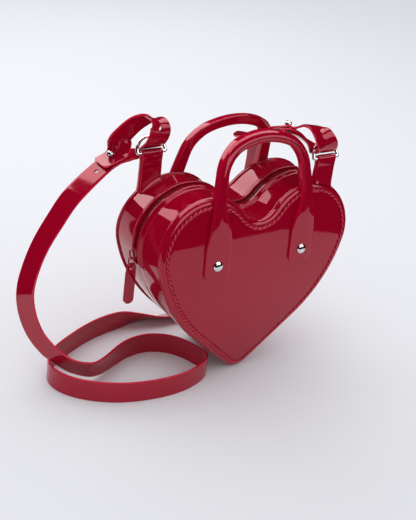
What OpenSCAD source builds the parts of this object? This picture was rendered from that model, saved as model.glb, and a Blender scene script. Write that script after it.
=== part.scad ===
// Heart shaped purse of glossy moulded PVC, with two arched handles and a flat shoulder strap.
// Millimetres. X runs across the heart, the front panel faces -Y, Z is up.
// The origin is under the heart's tip, half way between the two panels.

/* [Body] */
// Width of the heart across both lobes
body_w = 200; // [180:1:230]
// Depth between the two panels' faces at half height
body_d = 80; // [70:1:100]
// Radius of each lobe
lobe_r = 47; // [44:0.5:50]
// Radius of the shoulder below each lobe
shoulder_r = 150; // [140:1:165]
// Angle of the lower side's outward normal below the horizontal
side_angle = 46; // [44:0.5:48]
// Radius of the tip
tip_r = 18; // [14:0.5:20]
// Radius of the valley between the lobes, past half the gap that the lobes leave
valley_round = 15.5; // [12:0.5:20]
// How far each panel bulges at half height, past its top and bottom
bow_d = 9; // [5:0.5:12]
// Depth of the small flat that the tip rests on
rest_flat_d = 0.3; // [0.1:0.05:0.6]
// Wall of the gussets
gusset_t = 2.4; // [1.8:0.1:3.2]
// Thickness of the front and back panels
panel_t = 3; // [2.4:0.1:4]
// Width of the gusset's inner lip that the panel is sewn to
lip_w = 8; // [6:0.5:10]
// Thickness of that lip
lip_t = 1.6; // [1:0.1:2.4]

/* [Stitching] */
// Distance of the stitch row from the heart's edge
stitch_inset = 6.5; // [5:0.25:8]
// Width of the groove that the stitches lie in
groove_w = 4; // [3:0.25:4.5]
// Depth of the groove
groove_d = 1; // [0.6:0.1:1.4]
// Distance from one stitch to the next
stitch_pitch = 5; // [4:0.25:8]
// Length of one stitch
stitch_l = 4.6; // [3.4:0.1:5]
// Width of one stitch
stitch_w = 1.4; // [1:0.1:1.8]
// Slant of each stitch to its row
stitch_slant = 18; // [5:1:25]

/* [Zip] */
// Width of the slot between the two gussets
slot_w = 6; // [5:0.25:8]
// Angle on the left lobe where the slot ends, below the horizontal
slot_low_angle = 24; // [20:1:32]
// Angle on the right lobe where the slot ends, above the horizontal
slot_end_angle = 76; // [70:1:90]
// Width of the raised rim beside the slot
rim_w = 3; // [2:0.25:4]
// Height of the raised rim
rim_h = 1.2; // [0.6:0.1:1.6]
// Thickness of the zip tape
tape_t = 0.7; // [0.5:0.1:1]
// Width of one tape from the zip's centre
tape_w = 9; // [7:0.5:11]
// Gap between the two rows of teeth
tooth_gap = 1.4; // [1.3:0.1:1.8]
// Width of one row of teeth
tooth_w = 1.2; // [0.9:0.1:1.4]
// Height of the teeth above the tape
tooth_h = 1.3; // [0.9:0.1:1.5]
// Distance from one tooth to the next
tooth_pitch = 2.4; // [2:0.1:3.2]
// Length of one tooth along the row
tooth_l = 1.5; // [1:0.1:1.7]

/* [Slider and pull] */
// Length of the slider along the zip
slider_l = 9; // [7:0.25:10]
// Width of the slider's top plate
slider_w = 4.8; // [4.2:0.1:5]
// Thickness of each slider plate
slider_t = 1.2; // [0.8:0.1:1.4]
// Running gap between the slider and the zip
slider_gap = 0.3; // [0.2:0.05:0.35]
// Angle on the left lobe where the slider rests, below the horizontal
slider_low_angle = 9.5; // [8.5:0.25:10]
// Height of the window in the slider's bridge
bridge_window_h = 2.4; // [2:0.1:3]
// Outer diameter of the pull ring
pull_ring_d = 11; // [9:0.25:12]
// Wire diameter of the pull ring
pull_ring_wire = 1.2; // [1:0.1:1.5]
// Length of the pull tab
pull_tab_l = 36; // [28:0.5:40]
// Width of the pull tab
pull_tab_w = 9; // [8:0.25:10]
// Thickness of the pull tab
pull_tab_t = 3; // [2.4:0.1:3.4]
// Diameter of the hole in the pull tab
pull_tab_hole = 3.2; // [3:0.1:4]

/* [Handles] */
// Distance between the middles of the two tabs of a handle
handle_span = 89.6; // [80:0.2:96]
// Height of a tab's lower end
handle_foot_z = 108; // [100:0.5:112]
// Height of the handle's top
handle_top_z = 226; // [218:0.5:236]
// Width of a tab
tab_w = 25; // [20:0.5:26]
// Thickness of a tab
tab_t = 3; // [2.4:0.1:4]
// Width of the arch, seen from the front
arch_w = 9.2; // [7:0.2:11]
// Thickness of the arch from front to back
arch_t = 9; // [7:0.2:10]

/* [Rivets] */
// Height of the rivets
rivet_z = 117.5; // [114:0.5:122]
// Diameter of the domed head
rivet_head_d = 8.6; // [7:0.1:10]
// Height of the domed head
rivet_head_h = 2.4; // [1.6:0.1:3]
// Diameter of the shank
rivet_shank_d = 3; // [2.4:0.1:3.6]
// Diameter of the washer inside the bag
washer_d = 9; // [7:0.25:12]
// Thickness of the washer
washer_t = 1; // [0.8:0.1:1.6]

/* [Side tabs and rings] */
// Distance of the left side tab's middle from the centre plane
left_tab_x = 76; // [72:0.5:77]
// Distance of the right side tab's middle from the centre plane
right_tab_x = 66.5; // [64:0.5:76]
// Distance of each side tab's middle from the zip's centre line, as a share of the depth
side_tab_share = 0.345; // [0.25:0.005:0.35]
// Width of a side tab
side_tab_w = 19.5; // [18:0.25:23]
// Thickness of a side tab
side_tab_t = 6; // [5.6:0.1:8]
// Height of the ring's bar above the lobes' top
ring_rise = 23.5; // [16:0.5:28]
// Wire diameter of a ring
ring_wire = 3; // [2.4:0.1:3.2]
// Inner width of a ring
ring_inner_w = 24; // [24:0.25:28]
// Running gap between a ring's bar and its bore
ring_gap = 0.08; // [0.05:0.01:0.1]

/* [Shoulder strap] */
// Width of the strap
strap_w = 20; // [16:0.5:20]
// Thickness of the strap
strap_t = 1.8; // [1.4:0.1:2]
// Diameter of the holes punched in the strap
strap_hole_d = 3.4; // [3:0.1:4]
// Ball diameter of a strap stud
stud_ball_d = 6; // [5:0.25:7]
// Base diameter of a strap stud
stud_base_d = 7; // [7:0.25:10]

/* [Hidden] */

// Overrun of every cut past the face it leaves
over = 10;
// Gap at a seated face that would otherwise bite into a curved one
seat = 0.05;
// Number of steps of the panel's rounded border, from the edge inwards
edge_count = 3;
// Radius of the panel's rounded border
edge_r = 1.6;
// Facets of the panels' bow, of round parts and of small round parts
bow_fn = 360;
round_fn = 48;
small_fn = 24;
stitch_fn = 8;

// Angle below the horizontal where a lobe meets the shoulder
shoulder_low_angle = 15;
lobe_x = body_w / 2 - lobe_r;
valley_r = valley_round + lobe_x - lobe_r;
shoulder_x = lobe_x + (lobe_r - shoulder_r) * cos(shoulder_low_angle);
tip_z = tip_r - rest_flat_d;
shoulder_z = (shoulder_x * cos(side_angle) + shoulder_r - tip_r + tip_z * sin(side_angle))
             / sin(side_angle);
lobe_z = shoulder_z + (lobe_r - shoulder_r) * sin(shoulder_low_angle);
valley_z = lobe_z + sqrt(pow(lobe_r + valley_r, 2) - pow(lobe_x, 2));
valley_angle = atan2(valley_z - lobe_z, -lobe_x);
heart_h = lobe_z + lobe_r;
mid_z = heart_h / 2;
bow_r = (pow(mid_z, 2) + pow(bow_d, 2)) / (2 * bow_d);
bow_y = bow_r - body_d / 2;

function arc(c, r, a0, a1, n) =
    [for (i = [0 : n - 1]) c + r * [cos(a0 + (a1 - a0) * i / n), sin(a0 + (a1 - a0) * i / n)]];
function at(c, r, a) = c + r * [cos(a), sin(a)];
function mirrored(pts) = [for (i = [len(pts) - 2 : -1 : 1]) [-pts[i][0], pts[i][1]]];
function half_heart(off) = concat(
    arc([0, tip_z], tip_r - off, -90, -side_angle, 6),
    [at([0, tip_z], tip_r - off, -side_angle)],
    arc([shoulder_x, shoulder_z], shoulder_r - off, -side_angle, -shoulder_low_angle, 10),
    arc([lobe_x, lobe_z], lobe_r - off, -shoulder_low_angle, valley_angle, 30),
    arc([0, valley_z], valley_r + off, valley_angle - 180, -90, 12),
    [[0, valley_z - valley_r - off]]);
function heart(off) = concat(half_heart(off), mirrored(half_heart(off)));

// A line of points as tables of its length against X, Z and direction
function lengths(p) =
    [for (i = 0, s = 0; i < len(p); s = s + (i < len(p) - 1 ? norm(p[i + 1] - p[i]) : 0), i = i + 1) s];
function table(p, k) = let (s = lengths(p)) [for (i = [0 : len(p) - 1]) [s[i], p[i][k]]];

// The heart's outline, drawn in by off, as a block from y0 to y1
module heart_block(off, y0, y1)
    translate([0, y1, 0]) rotate([90, 0, 0]) linear_extrude(height = y1 - y0) polygon(heart(off));
// Everything inside the front panel's bow at radius r
module bow(r)
    translate([0, bow_y, mid_z]) rotate([0, 90, 0])
        cylinder(h = body_w + 2 * over, r = r, center = true, $fn = bow_fn);
// Cuts the small flat that the tip rests on
module rest_cut()
    translate([-body_w / 2, -body_d, -body_w]) cube([body_w, 2 * body_d, body_w]);
// Puts a child at x and height z on the front bow at radius r, with +Z outwards
module on_bow(x, z, r)
    translate([x, bow_y, mid_z]) rotate([-asin((z - mid_z) / r), 0, 0])
        translate([0, -r, 0]) rotate([90, 0, 0]) children();
module rivet_spots()
    for (side = [-1, 1]) on_bow(side * handle_span / 2, rivet_z, bow_r + tab_t) children();
module rivet_bores()
    rivet_spots() translate([0, 0, -over])
        cylinder(h = 2 * over, d = rivet_shank_d + 2 * seat, $fn = small_fn);
// The other half of the purse is the same moulding
module turned() mirror([0, 1, 0]) children();

// The band over the stitch row, outside the bow at radius r
module stitch_band(r)
    difference() {
        heart_block(stitch_inset - groove_w / 2, -body_d, over);
        heart_block(stitch_inset + groove_w / 2, -body_d - over, 2 * over);
        bow(r);
    }

// Panels

module panel_shape() {
    difference() {
        intersection() {
            heart_block(0, -body_d, 0);
            bow(bow_r);
        }
        bow(bow_r - panel_t);
        for (k = [1 : edge_count])
            let (a = 90 * (k - 0.5) / edge_count)
                difference() {
                    translate([-body_w, -body_d, -over]) cube([2 * body_w, body_d, 2 * body_w]);
                    heart_block(edge_r * (1 - cos(a)), -body_d - over, over);
                    bow(bow_r - edge_r * (1 - sin(a)));
                }
        stitch_band(bow_r - groove_d);
        rivet_bores();
        rest_cut();
    }
}
module front_panel() color("#8c0822") panel_shape();
module back_panel() color("#8c0822") turned() panel_shape();

// Gussets

zip_reach = body_w / 2;
module zip_sector(low, end, y0, y1)
    translate([0, y1, 0]) rotate([90, 0, 0]) linear_extrude(height = y1 - y0)
        polygon([[-lobe_x, lobe_z], at([-lobe_x, lobe_z], zip_reach, 180 + low),
                 [-lobe_x - zip_reach * cos(low), lobe_z + zip_reach],
                 [lobe_x + zip_reach / tan(end), lobe_z + zip_reach], [lobe_x, lobe_z]]);
module gusset_shape() {
    difference() {
        union() {
            intersection() {
                heart_block(0, -body_d, 0);
                bow(bow_r - panel_t);
            }
            intersection() {
                heart_block(-rim_h, -slot_w / 2 - rim_w, -slot_w / 2);
                zip_sector(slot_low_angle, slot_end_angle, -body_d, 0);
            }
        }
        intersection() {
            heart_block(gusset_t, -body_d, over);
            bow(bow_r - panel_t - lip_t);
        }
        heart_block(lip_w + stitch_inset - groove_w / 2, -body_d, over);
        zip_sector(slot_low_angle, slot_end_angle, -slot_w / 2, over);
        rest_cut();
    }
}
module front_gusset() color("#a00a28") gusset_shape();
module back_gusset() color("#a00a28") turned() gusset_shape();

// Stitching

stitch_line = heart(stitch_inset);
stitch_loop = concat(stitch_line, [stitch_line[0]]);
stitch_total = lengths(stitch_loop)[len(stitch_loop) - 1];
stitch_n = round(stitch_total / stitch_pitch);
stitch_x = table(stitch_loop, 0);
stitch_z = table(stitch_loop, 1);
module stitches() {
    r = bow_r - groove_d + stitch_w / 2 + seat;
    for (i = [0 : stitch_n - 1])
        let (s = (i + 0.5) * stitch_total / stitch_n, h = stitch_l / 2,
             a = atan2(lookup(s + h, stitch_z) - lookup(s - h, stitch_z),
                       lookup(s + h, stitch_x) - lookup(s - h, stitch_x)))
            on_bow(lookup(s, stitch_x), lookup(s, stitch_z), r)
                rotate([0, 90, a + stitch_slant])
                    cylinder(h = stitch_l, d = stitch_w, center = true, $fn = stitch_fn);
}
module front_stitching() color("#7a0018") stitches();
module back_stitching() color("#7a0018") turned() stitches();

// Zip

// Angle that the tape runs on under the gusset past each end of the slot
tape_run_angle = 3;
// Angles between the slot's ends and the stops, over a stop, and between it and the teeth
stop_gap_angle = 3.5;
stop_angle = 3.5;
tooth_gap_angle = 1;
tooth_low_angle = slot_low_angle - stop_gap_angle - stop_angle - tooth_gap_angle;
tooth_end_angle = slot_end_angle + stop_gap_angle + stop_angle;
tooth_off = gusset_t - tooth_h / 2 - seat;
tooth_line = concat(
    arc([-lobe_x, lobe_z], lobe_r - tooth_off, 180 + tooth_low_angle, 180 - valley_angle, 30),
    arc([0, valley_z], valley_r + tooth_off, 360 - valley_angle, 180 + valley_angle, 24),
    arc([lobe_x, lobe_z], lobe_r - tooth_off, valley_angle, tooth_end_angle, 14),
    [at([lobe_x, lobe_z], lobe_r - tooth_off, tooth_end_angle)]);
tooth_total = lengths(tooth_line)[len(tooth_line) - 1];
tooth_n = floor(tooth_total / tooth_pitch);
tooth_xs = table(tooth_line, 0);
tooth_zs = table(tooth_line, 1);
module zip_tape()
    intersection() {
        difference() {
            heart_block(gusset_t, -tape_w, -tooth_gap / 2);
            heart_block(gusset_t + tape_t, -tape_w - over, over);
        }
        zip_sector(slot_low_angle + tape_run_angle, slot_end_angle - tape_run_angle, -body_d, 0);
    }
module zip_teeth()
    for (i = [0 : tooth_n - 1])
        let (s = (i + 0.5) * tooth_pitch, h = tooth_l / 2,
             a = atan2(lookup(s + h, tooth_zs) - lookup(s - h, tooth_zs),
                       lookup(s + h, tooth_xs) - lookup(s - h, tooth_xs)))
            translate([lookup(s, tooth_xs), -(tooth_gap + tooth_w) / 2, lookup(s, tooth_zs)])
                rotate([0, -a, 0]) cube([tooth_l, tooth_w, tooth_h - 2 * seat], center = true);
// A band about a lobe's axis, between two radii and two angles
module lobe_band(x, r0, r1, a0, a1, w)
    translate([x, 0, lobe_z]) rotate([90, 0, 0]) rotate([0, 0, a0])
        rotate_extrude(angle = a1 - a0, $fn = bow_fn)
            translate([r0, -w / 2]) square([r1 - r0, w]);
// A block that bridges both rows of teeth
module zip_stop(x, a0)
    lobe_band(x, lobe_r - gusset_t + 2 * seat, lobe_r - gusset_t + tooth_h, a0, a0 + stop_angle,
              tooth_gap + 2 * tooth_w);
module zip_tape_front() color("#5a0012") zip_tape();
module zip_tape_back() color("#5a0012") turned() zip_tape();
module zip_teeth_front() color("#6a0016") zip_teeth();
module zip_teeth_back() color("#6a0016") turned() zip_teeth();
module zip_bottom_stop()
    color("#6a0016") zip_stop(-lobe_x, 180 + slot_low_angle - stop_gap_angle - stop_angle);
module zip_top_stop() color("#6a0016") zip_stop(lobe_x, slot_end_angle + stop_gap_angle - tooth_gap_angle);

// Slider, ring and pull

slider_a = 180 + slider_low_angle;
slider_half_angle = asin(slider_l / 2 / lobe_r);
plate_in_r = lobe_r - gusset_t + tooth_h + slider_gap;
plate_out_r = plate_in_r + slider_t;
low_plate_r = lobe_r - gusset_t - tape_t - slider_gap;
// Width of the slider's lower plate
low_plate_w = 8;
// Gap between the slider's post and the teeth
post_gap = 0.2;
// Width of the bridge on the slider, and thickness of its bar and legs
bridge_w = 2;
bridge_t = 1;
// Height of the bridge's window above the top plate
bridge_rise = 2.6;
// Running gap between the pull ring's wire and the bridge
wire_gap = 0.25;
window_in_r = plate_out_r + bridge_rise;
window_out_r = window_in_r + bridge_window_h;
window_half_angle = slider_half_angle - asin(bridge_t / lobe_r);
module slider_band(r0, r1, h0, h1, w) lobe_band(-lobe_x, r0, r1, slider_a + h0, slider_a + h1, w);
module slider_body()
    color("#8a0a22") difference() {
        union() {
            slider_band(plate_in_r, plate_out_r, -slider_half_angle, slider_half_angle, slider_w);
            slider_band(low_plate_r - slider_t, low_plate_r, -slider_half_angle,
                        slider_half_angle, low_plate_w);
            slider_band(low_plate_r - slider_t / 2, plate_in_r + slider_t / 2, -slider_half_angle,
                        -slider_half_angle / 3, tooth_gap - 2 * post_gap);
            slider_band(plate_out_r - slider_t / 2, window_out_r + bridge_t, -slider_half_angle,
                        slider_half_angle, bridge_w);
        }
        slider_band(window_in_r, window_out_r, -window_half_angle, window_half_angle, slider_w);
    }
pull_r = (pull_ring_d - pull_ring_wire) / 2;
wire_r = (window_in_r + window_out_r) / 2;
wire_a = slider_a + window_half_angle - asin((pull_ring_wire / 2 + wire_gap) / wire_r);
wire_at = at([-lobe_x, lobe_z], wire_r, wire_a);
pull_low_z = wire_at[1] - 2 * pull_r;
module pull_ring()
    color("#b89090") translate([wire_at[0], 0, wire_at[1] - pull_r]) rotate([0, 90, 0])
        rotate_extrude($fn = round_fn) translate([pull_r, 0]) circle(d = pull_ring_wire, $fn = small_fn);
tab_hole_z = pull_low_z - (pull_tab_hole - pull_ring_wire) / 2 + wire_gap;
// Plastic left around the hole at the pull tab's top
pull_tab_rim = 2;
tab_top_r = pull_tab_hole / 2 + pull_tab_rim;
pull_tab_corner = 2.5;
module pull_tab()
    color("#9c0a26") translate([wire_at[0], pull_tab_t / 2, 0]) rotate([90, 0, 0])
        linear_extrude(height = pull_tab_t) difference() {
            union() {
                translate([0, tab_hole_z]) circle(r = tab_top_r, $fn = round_fn);
                translate([-pull_tab_w / 2, tab_hole_z + tab_top_r - pull_tab_l + pull_tab_corner])
                    square([pull_tab_w, pull_tab_l - pull_tab_corner - 2 * tab_top_r]);
                translate([pull_tab_corner - pull_tab_w / 2, tab_hole_z + tab_top_r - pull_tab_l])
                    square([pull_tab_w - 2 * pull_tab_corner, pull_tab_corner * 2]);
                polygon([[-tab_top_r, tab_hole_z], [-pull_tab_w / 2, tab_hole_z - tab_top_r],
                         [pull_tab_w / 2, tab_hole_z - tab_top_r], [tab_top_r, tab_hole_z]]);
                for (side = [-1, 1])
                    translate([side * (pull_tab_w / 2 - pull_tab_corner),
                               tab_hole_z + tab_top_r - pull_tab_l + pull_tab_corner])
                        circle(r = pull_tab_corner, $fn = round_fn);
            }
            translate([0, tab_hole_z]) circle(d = pull_tab_hole, $fn = round_fn);
        }

// Handles

// Radius of the arch's top and of its corners, as shares of the handle's span
arch_share = 0.826;
corner_share = 0.3795;
arch_r = arch_share * handle_span;
corner_r = corner_share * handle_span;
// Radius of a tab's lower corners
foot_corner_r = 5;
// Angle that each corner starts from, off the horizontal, and the legs' splay
arch_top_angle = 70;
leg_angle = 10;
// Height where a tab starts to narrow, and of its narrowest place, and the width there
tab_neck_z = 136;
neck_z = 173;
neck_w = 11;
// How far the arch's face stands off the panels' bow
arch_rise = 6.5;
// Room between the stitches and the hollow that a handle has over them
stitch_room = 0.3;
tab_out_x = (handle_span + tab_w) / 2;
tab_in_x = (handle_span - tab_w) / 2;
arch_c = [0, handle_top_z - arch_r];
corner_c = at(arch_c, arch_r - corner_r, arch_top_angle);
leg_top = at(corner_c, corner_r, leg_angle);
leg_join_z = leg_top[1] - (tab_out_x - leg_top[0]) / tan(leg_angle);
neck_x = leg_top[0] + (leg_top[1] - neck_z) * tan(leg_angle) - neck_w;
// Depth of the flat that the tab's face and the arch's face share
leg_face_y = bow_y - sqrt(pow(bow_r + tab_t, 2) - pow(tab_neck_z - mid_z, 2));
neck_count = 8;
half_handle = concat(
    arc(arch_c, arch_r, 90, arch_top_angle, 5),
    arc(corner_c, corner_r, arch_top_angle, leg_angle, 12),
    [leg_top, [tab_out_x, leg_join_z]],
    arc([tab_out_x - foot_corner_r, handle_foot_z + foot_corner_r], foot_corner_r, 0, -90, 5),
    [[tab_out_x - foot_corner_r, handle_foot_z]],
    arc([tab_in_x + foot_corner_r, handle_foot_z + foot_corner_r], foot_corner_r, -90, -180, 5),
    [[tab_in_x, handle_foot_z + foot_corner_r]],
    [for (i = [0 : neck_count])
        [tab_in_x + (neck_x - tab_in_x) * (1 - cos(180 * i / neck_count)) / 2,
         tab_neck_z + (neck_z - tab_neck_z) * i / neck_count]],
    arc(corner_c, corner_r - arch_w, leg_angle, arch_top_angle, 12),
    arc(arch_c, arch_r - arch_w, arch_top_angle, 90, 5),
    [[0, handle_top_z - arch_w]]);
module handle_block(y0, y1)
    translate([0, y1, 0]) rotate([90, 0, 0]) linear_extrude(height = y1 - y0)
        polygon(concat(half_handle, mirrored(half_handle)));
module handle_shape() {
    difference() {
        union() {
            intersection() {
                handle_block(leg_face_y, 0);
                bow(bow_r + arch_rise);
            }
            intersection() {
                handle_block(-body_d, 0);
                bow(bow_r + tab_t);
            }
        }
        bow(bow_r + arch_rise - arch_t);
        intersection() {
            heart_block(0, -body_d, over);
            bow(bow_r);
        }
        intersection() {
            stitch_band(bow_r - groove_d);
            bow(bow_r + stitch_w - groove_d + seat + stitch_room);
        }
        rivet_bores();
    }
}
module front_handle() color("#9a0a26") handle_shape();
module back_handle() color("#9a0a26") turned() handle_shape();

// Rivets

// Length and diameter of the clenched end inside each washer
tail_l = 0.8;
tail_d = 4.4;
head_sphere_r = (pow(rivet_head_d / 2, 2) + pow(rivet_head_h, 2)) / (2 * rivet_head_h);
washer_z = -tab_t - panel_t - seat - washer_t;
module rivet() {
    intersection() {
        translate([0, 0, rivet_head_h - head_sphere_r]) sphere(r = head_sphere_r, $fn = round_fn);
        cylinder(h = rivet_head_h, d = rivet_head_d, $fn = round_fn);
    }
    translate([0, 0, washer_z - tail_l])
        cylinder(h = tail_l - washer_z, d = rivet_shank_d, $fn = small_fn);
    translate([0, 0, washer_z - seat - tail_l]) cylinder(h = tail_l, d = tail_d, $fn = small_fn);
}
module washer()
    translate([0, 0, washer_z]) difference() {
        cylinder(h = washer_t, d = washer_d, $fn = round_fn);
        translate([0, 0, -over]) cylinder(h = 2 * over, d = rivet_shank_d + 2 * seat, $fn = small_fn);
    }
module front_rivets() color("#d8d8dc") rivet_spots() rivet();
module back_rivets() color("#d8d8dc") turned() rivet_spots() rivet();
module front_rivet_washers() color("#b8b8bc") rivet_spots() washer();
module back_rivet_washers() color("#b8b8bc") turned() rivet_spots() washer();

// Side tabs and rings

side_tab_y = side_tab_share * body_d;
// Height of each tab's foot over the lobe's middle, and how far it flares to the front and back
tab_foot_rise = 47;
tab_foot_flare = 1.4;
// How far each ring leans back
ring_lean_angle = 30;
bar_z = heart_h + ring_rise - side_tab_t / 2;
ring_mean_r = (ring_inner_w + ring_wire) / 2;
module side_tab(x, y)
    difference() {
        translate([x - side_tab_w / 2, y, 0]) rotate([90, 0, 90]) linear_extrude(height = side_tab_w)
            difference() {
                union() {
                    translate([0, bar_z]) circle(d = side_tab_t, $fn = round_fn);
                    translate([-side_tab_t / 2, lobe_z]) square([side_tab_t, bar_z - lobe_z]);
                    translate([-side_tab_t / 2 - tab_foot_flare, lobe_z])
                        square([side_tab_t + 2 * tab_foot_flare, tab_foot_rise]);
                }
                translate([0, bar_z]) circle(d = ring_wire + 2 * ring_gap, $fn = round_fn);
            }
        heart_block(0, -body_d, body_d);
    }
module ring(x, y)
    translate([x, y, bar_z]) rotate([-ring_lean_angle, 0, 0]) {
        rotate([0, 90, 0]) cylinder(h = 2 * ring_mean_r, d = ring_wire, center = true, $fn = round_fn);
        for (side = [-1, 1])
            translate([side * ring_mean_r, 0, 0]) sphere(d = ring_wire, $fn = round_fn);
        rotate([90, 0, 0]) rotate_extrude(angle = 180, $fn = 2 * round_fn)
            translate([ring_mean_r, 0]) circle(d = ring_wire, $fn = small_fn);
    }
module left_side_tab() color("#9a0a26") side_tab(-left_tab_x, side_tab_y);
module right_side_tab() color("#9a0a26") side_tab(right_tab_x, -side_tab_y);
module left_ring() color("#c8c8cc") ring(-left_tab_x, side_tab_y);
module right_ring() color("#c8c8cc") ring(right_tab_x, -side_tab_y);

// Shoulder strap

// Length that the strap's route is laid out in
strap_reach = 100;
// Number of steps between two places of the route
strap_row_count = 4;
// Middle of each ring's window
window_rise = (ring_mean_r + ring_wire / 4) / 2;
window_off = [0, window_rise * sin(ring_lean_angle), window_rise * cos(ring_lean_angle)];
left_window = [-left_tab_x, side_tab_y, bar_z] + window_off;
right_window = [right_tab_x, -side_tab_y, bar_z] + window_off;
// Each place is an offset in shares of the reach, then the way that the strap's width runs.
// From the left end's tip over its loop, through the ring and back along itself
left_shares = [
    [-0.435, 0.05, -0.146, 0, -1, 0], [-0.327, 0.052, -0.106, 0, -1, -0.05],
    [-0.286, 0.055, -0.078, 0.25, -0.95, -0.1], [-0.265, 0.05, -0.015, 0.7, -0.6, -0.3],
    [-0.262, 0.036, 0.062, 0.88, 0, -0.38], [-0.212, 0.008, 0.14, 0.9, 0.1, -0.38],
    [-0.163, -0.022, 0.2, 0.9, 0.1, -0.36], [-0.112, -0.062, 0.243, 0.92, 0.1, -0.34],
    [-0.068, -0.102, 0.257, 0.92, 0.1, -0.36], [-0.035, -0.139, 0.236, 0.95, 0.1, -0.25],
    [-0.022, -0.159, 0.19, 1, 0.1, -0.12], [-0.017, -0.152, 0.132, 1, 0.05, -0.05],
    [-0.014, -0.112, 0.061, 1, 0, 0], [0, -0.018, -0.022, 1, 0, 0],
    [0.008, 0.088, -0.093, 0.9, 0.4, 0], [-0.063, 0.118, -0.119, 0.62, 0.78, 0],
    [-0.175, 0.098, -0.12, 0.3, 0.95, 0.05], [-0.32, 0.053, -0.13, 0, 1, 0.05],
    [-0.454, 0.048, -0.212, 0, 1, 0.02]];
// Down the left side to the floor, through its bends there, and up behind the purse
middle_shares = [
    [-1.44, 0.335, 1.545, 0, 1, 0], [-1.575, 0.33, 1.36, -0.05, 1, -0.05],
    [-1.695, 0.33, 1.16, -0.1, 1, -0.1], [-1.78, 0.325, 0.95, -0.2, 0.95, -0.15],
    [-1.82, 0.32, 0.75, -0.3, 0.9, -0.2], [-1.8, 0.305, 0.54, -0.35, 0.8, -0.35],
    [-1.745, 0.25, 0.36, -0.3, 0.7, -0.55], [-1.665, 0.17, 0.235, -0.2, 0.6, -0.75],
    [-1.59, 0.11, 0.165, -0.05, 0.55, -0.8], [-1.51, 0.06, 0.105, 0, 0.5, -0.85],
    [-1.42, 0.03, 0.065, 0, 0.45, -0.9], [-1.32, 0.02, 0.035, 0, 0.35, -0.93],
    [-1.21, 0.05, 0.015, 0, 0.2, -1], [-1.09, 0.11, 0.005, 0, 0.1, -1],
    [-0.97, 0.172, 0, 0, 0, -1], [-0.86, 0.213, 0, 0, 0, -1], [-0.75, 0.23, 0, 0, 0, -1],
    [-0.65, 0.223, 0, 0, 0, -1], [-0.56, 0.19, 0, 0, 0, -1], [-0.48, 0.138, 0, 0, 0, -1],
    [-0.415, 0.065, 0, 0, 0, -1], [-0.365, -0.03, 0, 0, 0, -1], [-0.33, -0.135, 0, 0, 0, -1],
    [-0.305, -0.22, 0, 0, 0, -1], [-0.325, -0.295, 0, 0, 0, -1], [-0.4, -0.355, 0, 0, 0, -1],
    [-0.507, -0.397, 0, 0, 0, -1], [-0.62, -0.423, 0, 0, 0, -1], [-0.75, -0.433, 0, 0, 0, -1],
    [-0.895, -0.424, 0, 0, 0, -1], [-1.076, -0.39, 0, 0, 0, -1], [-1.24, -0.335, 0, 0, 0, -1],
    [-1.38, -0.257, 0, 0, 0, -1], [-1.495, -0.167, 0, 0, 0, -1], [-1.58, -0.07, 0, 0, 0, -1],
    [-1.635, 0.035, 0, 0, 0, -1], [-1.65, 0.14, 0, 0, 0, -1], [-1.625, 0.237, 0, 0, 0, -1],
    [-1.555, 0.325, 0, 0, 0, -1], [-1.43, 0.415, 0, 0, 0, -1], [-1.27, 0.5, 0, 0, 0, -1],
    [-1.09, 0.58, 0, 0, 0, -1], [-0.89, 0.64, 0, 0, 0, -1], [-0.68, 0.665, 0, 0, 0, -1],
    [-0.48, 0.655, 0, 0, 0, -1], [-0.3, 0.63, 0, 0, 0, -1], [-0.16, 0.62, 0, 0, -0.35, -0.94],
    [-0.03, 0.61, -0.015, 0, -0.72, -0.7], [0.09, 0.605, -0.045, 0, -0.95, -0.3],
    [0.21, 0.605, -0.02, 0, -1, 0], [0.31, 0.605, 0.07, 0, -1, 0], [0.385, 0.605, 0.21, 0, -1, 0],
    [0.44, 0.605, 0.39, 0, -1, 0], [0.48, 0.6, 0.6, 0, -1, 0], [0.51, 0.59, 0.82, 0, -1, 0],
    [0.535, 0.58, 1.04, 0, -1, 0], [0.552, 0.568, 1.24, 0, -1, 0],
    [0.56, 0.553, 1.42, 0.05, -1, 0], [0.555, 0.54, 1.58, 0.1, -1, 0],
    [0.53, 0.525, 1.71, 0.25, -0.95, 0], [0.47, 0.495, 1.8, 0.4, -0.9, 0.05],
    [0.37, 0.46, 1.85, 0.54, -0.84, 0.1], [0.255, 0.365, 1.88, 0.77, -0.63, 0.1],
    [0.21, 0.27, 1.915, 0.94, -0.3, 0.1], [0.185, 0.17, 1.965, 1, 0, 0],
    [0.22, 0.075, 2.015, 0.9, 0.37, -0.1]];
// Along to the right ring, through it, over its loop and back to the right end's tip
right_shares = [
    [-0.365, 0.242, 0.117, 0.45, 0.8, -0.4], [-0.275, 0.202, 0.12, 0.22, 0.84, -0.5],
    [-0.18, 0.165, 0.086, 0.3, 0.87, -0.35], [-0.115, 0.136, 0.034, 0.45, 0.85, -0.2],
    [-0.06, 0.115, -0.015, 0.8, 0.6, 0], [-0.01, 0.056, -0.034, 0.96, 0.25, 0],
    [0.001, -0.012, -0.019, 1, 0, 0], [-0.014, -0.052, 0.035, 1, 0, 0],
    [-0.061, -0.06, 0.105, 1, 0, 0], [-0.105, -0.035, 0.165, 1, 0.05, 0],
    [-0.14, 0.03, 0.2, 0.85, 0.45, -0.15], [-0.178, 0.1, 0.195, 0.6, 0.7, -0.3],
    [-0.225, 0.165, 0.158, 0.3, 0.85, -0.42], [-0.28, 0.214, 0.143, 0.22, 0.84, -0.5],
    [-0.365, 0.256, 0.14, 0.42, 0.82, -0.42], [-0.425, 0.291, 0.132, 0.55, 0.75, -0.35]];
function placed(rows, c) =
    [for (r = rows) concat(c + strap_reach * [r[0], r[1], r[2]], [r[3], r[4], r[5]])];
strap_rows = concat(placed(left_shares, left_window),
                    placed(middle_shares, [0, 0, strap_w / 2]),
                    placed(right_shares, right_window));
left_stud_row = len(left_shares) - 2;
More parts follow.
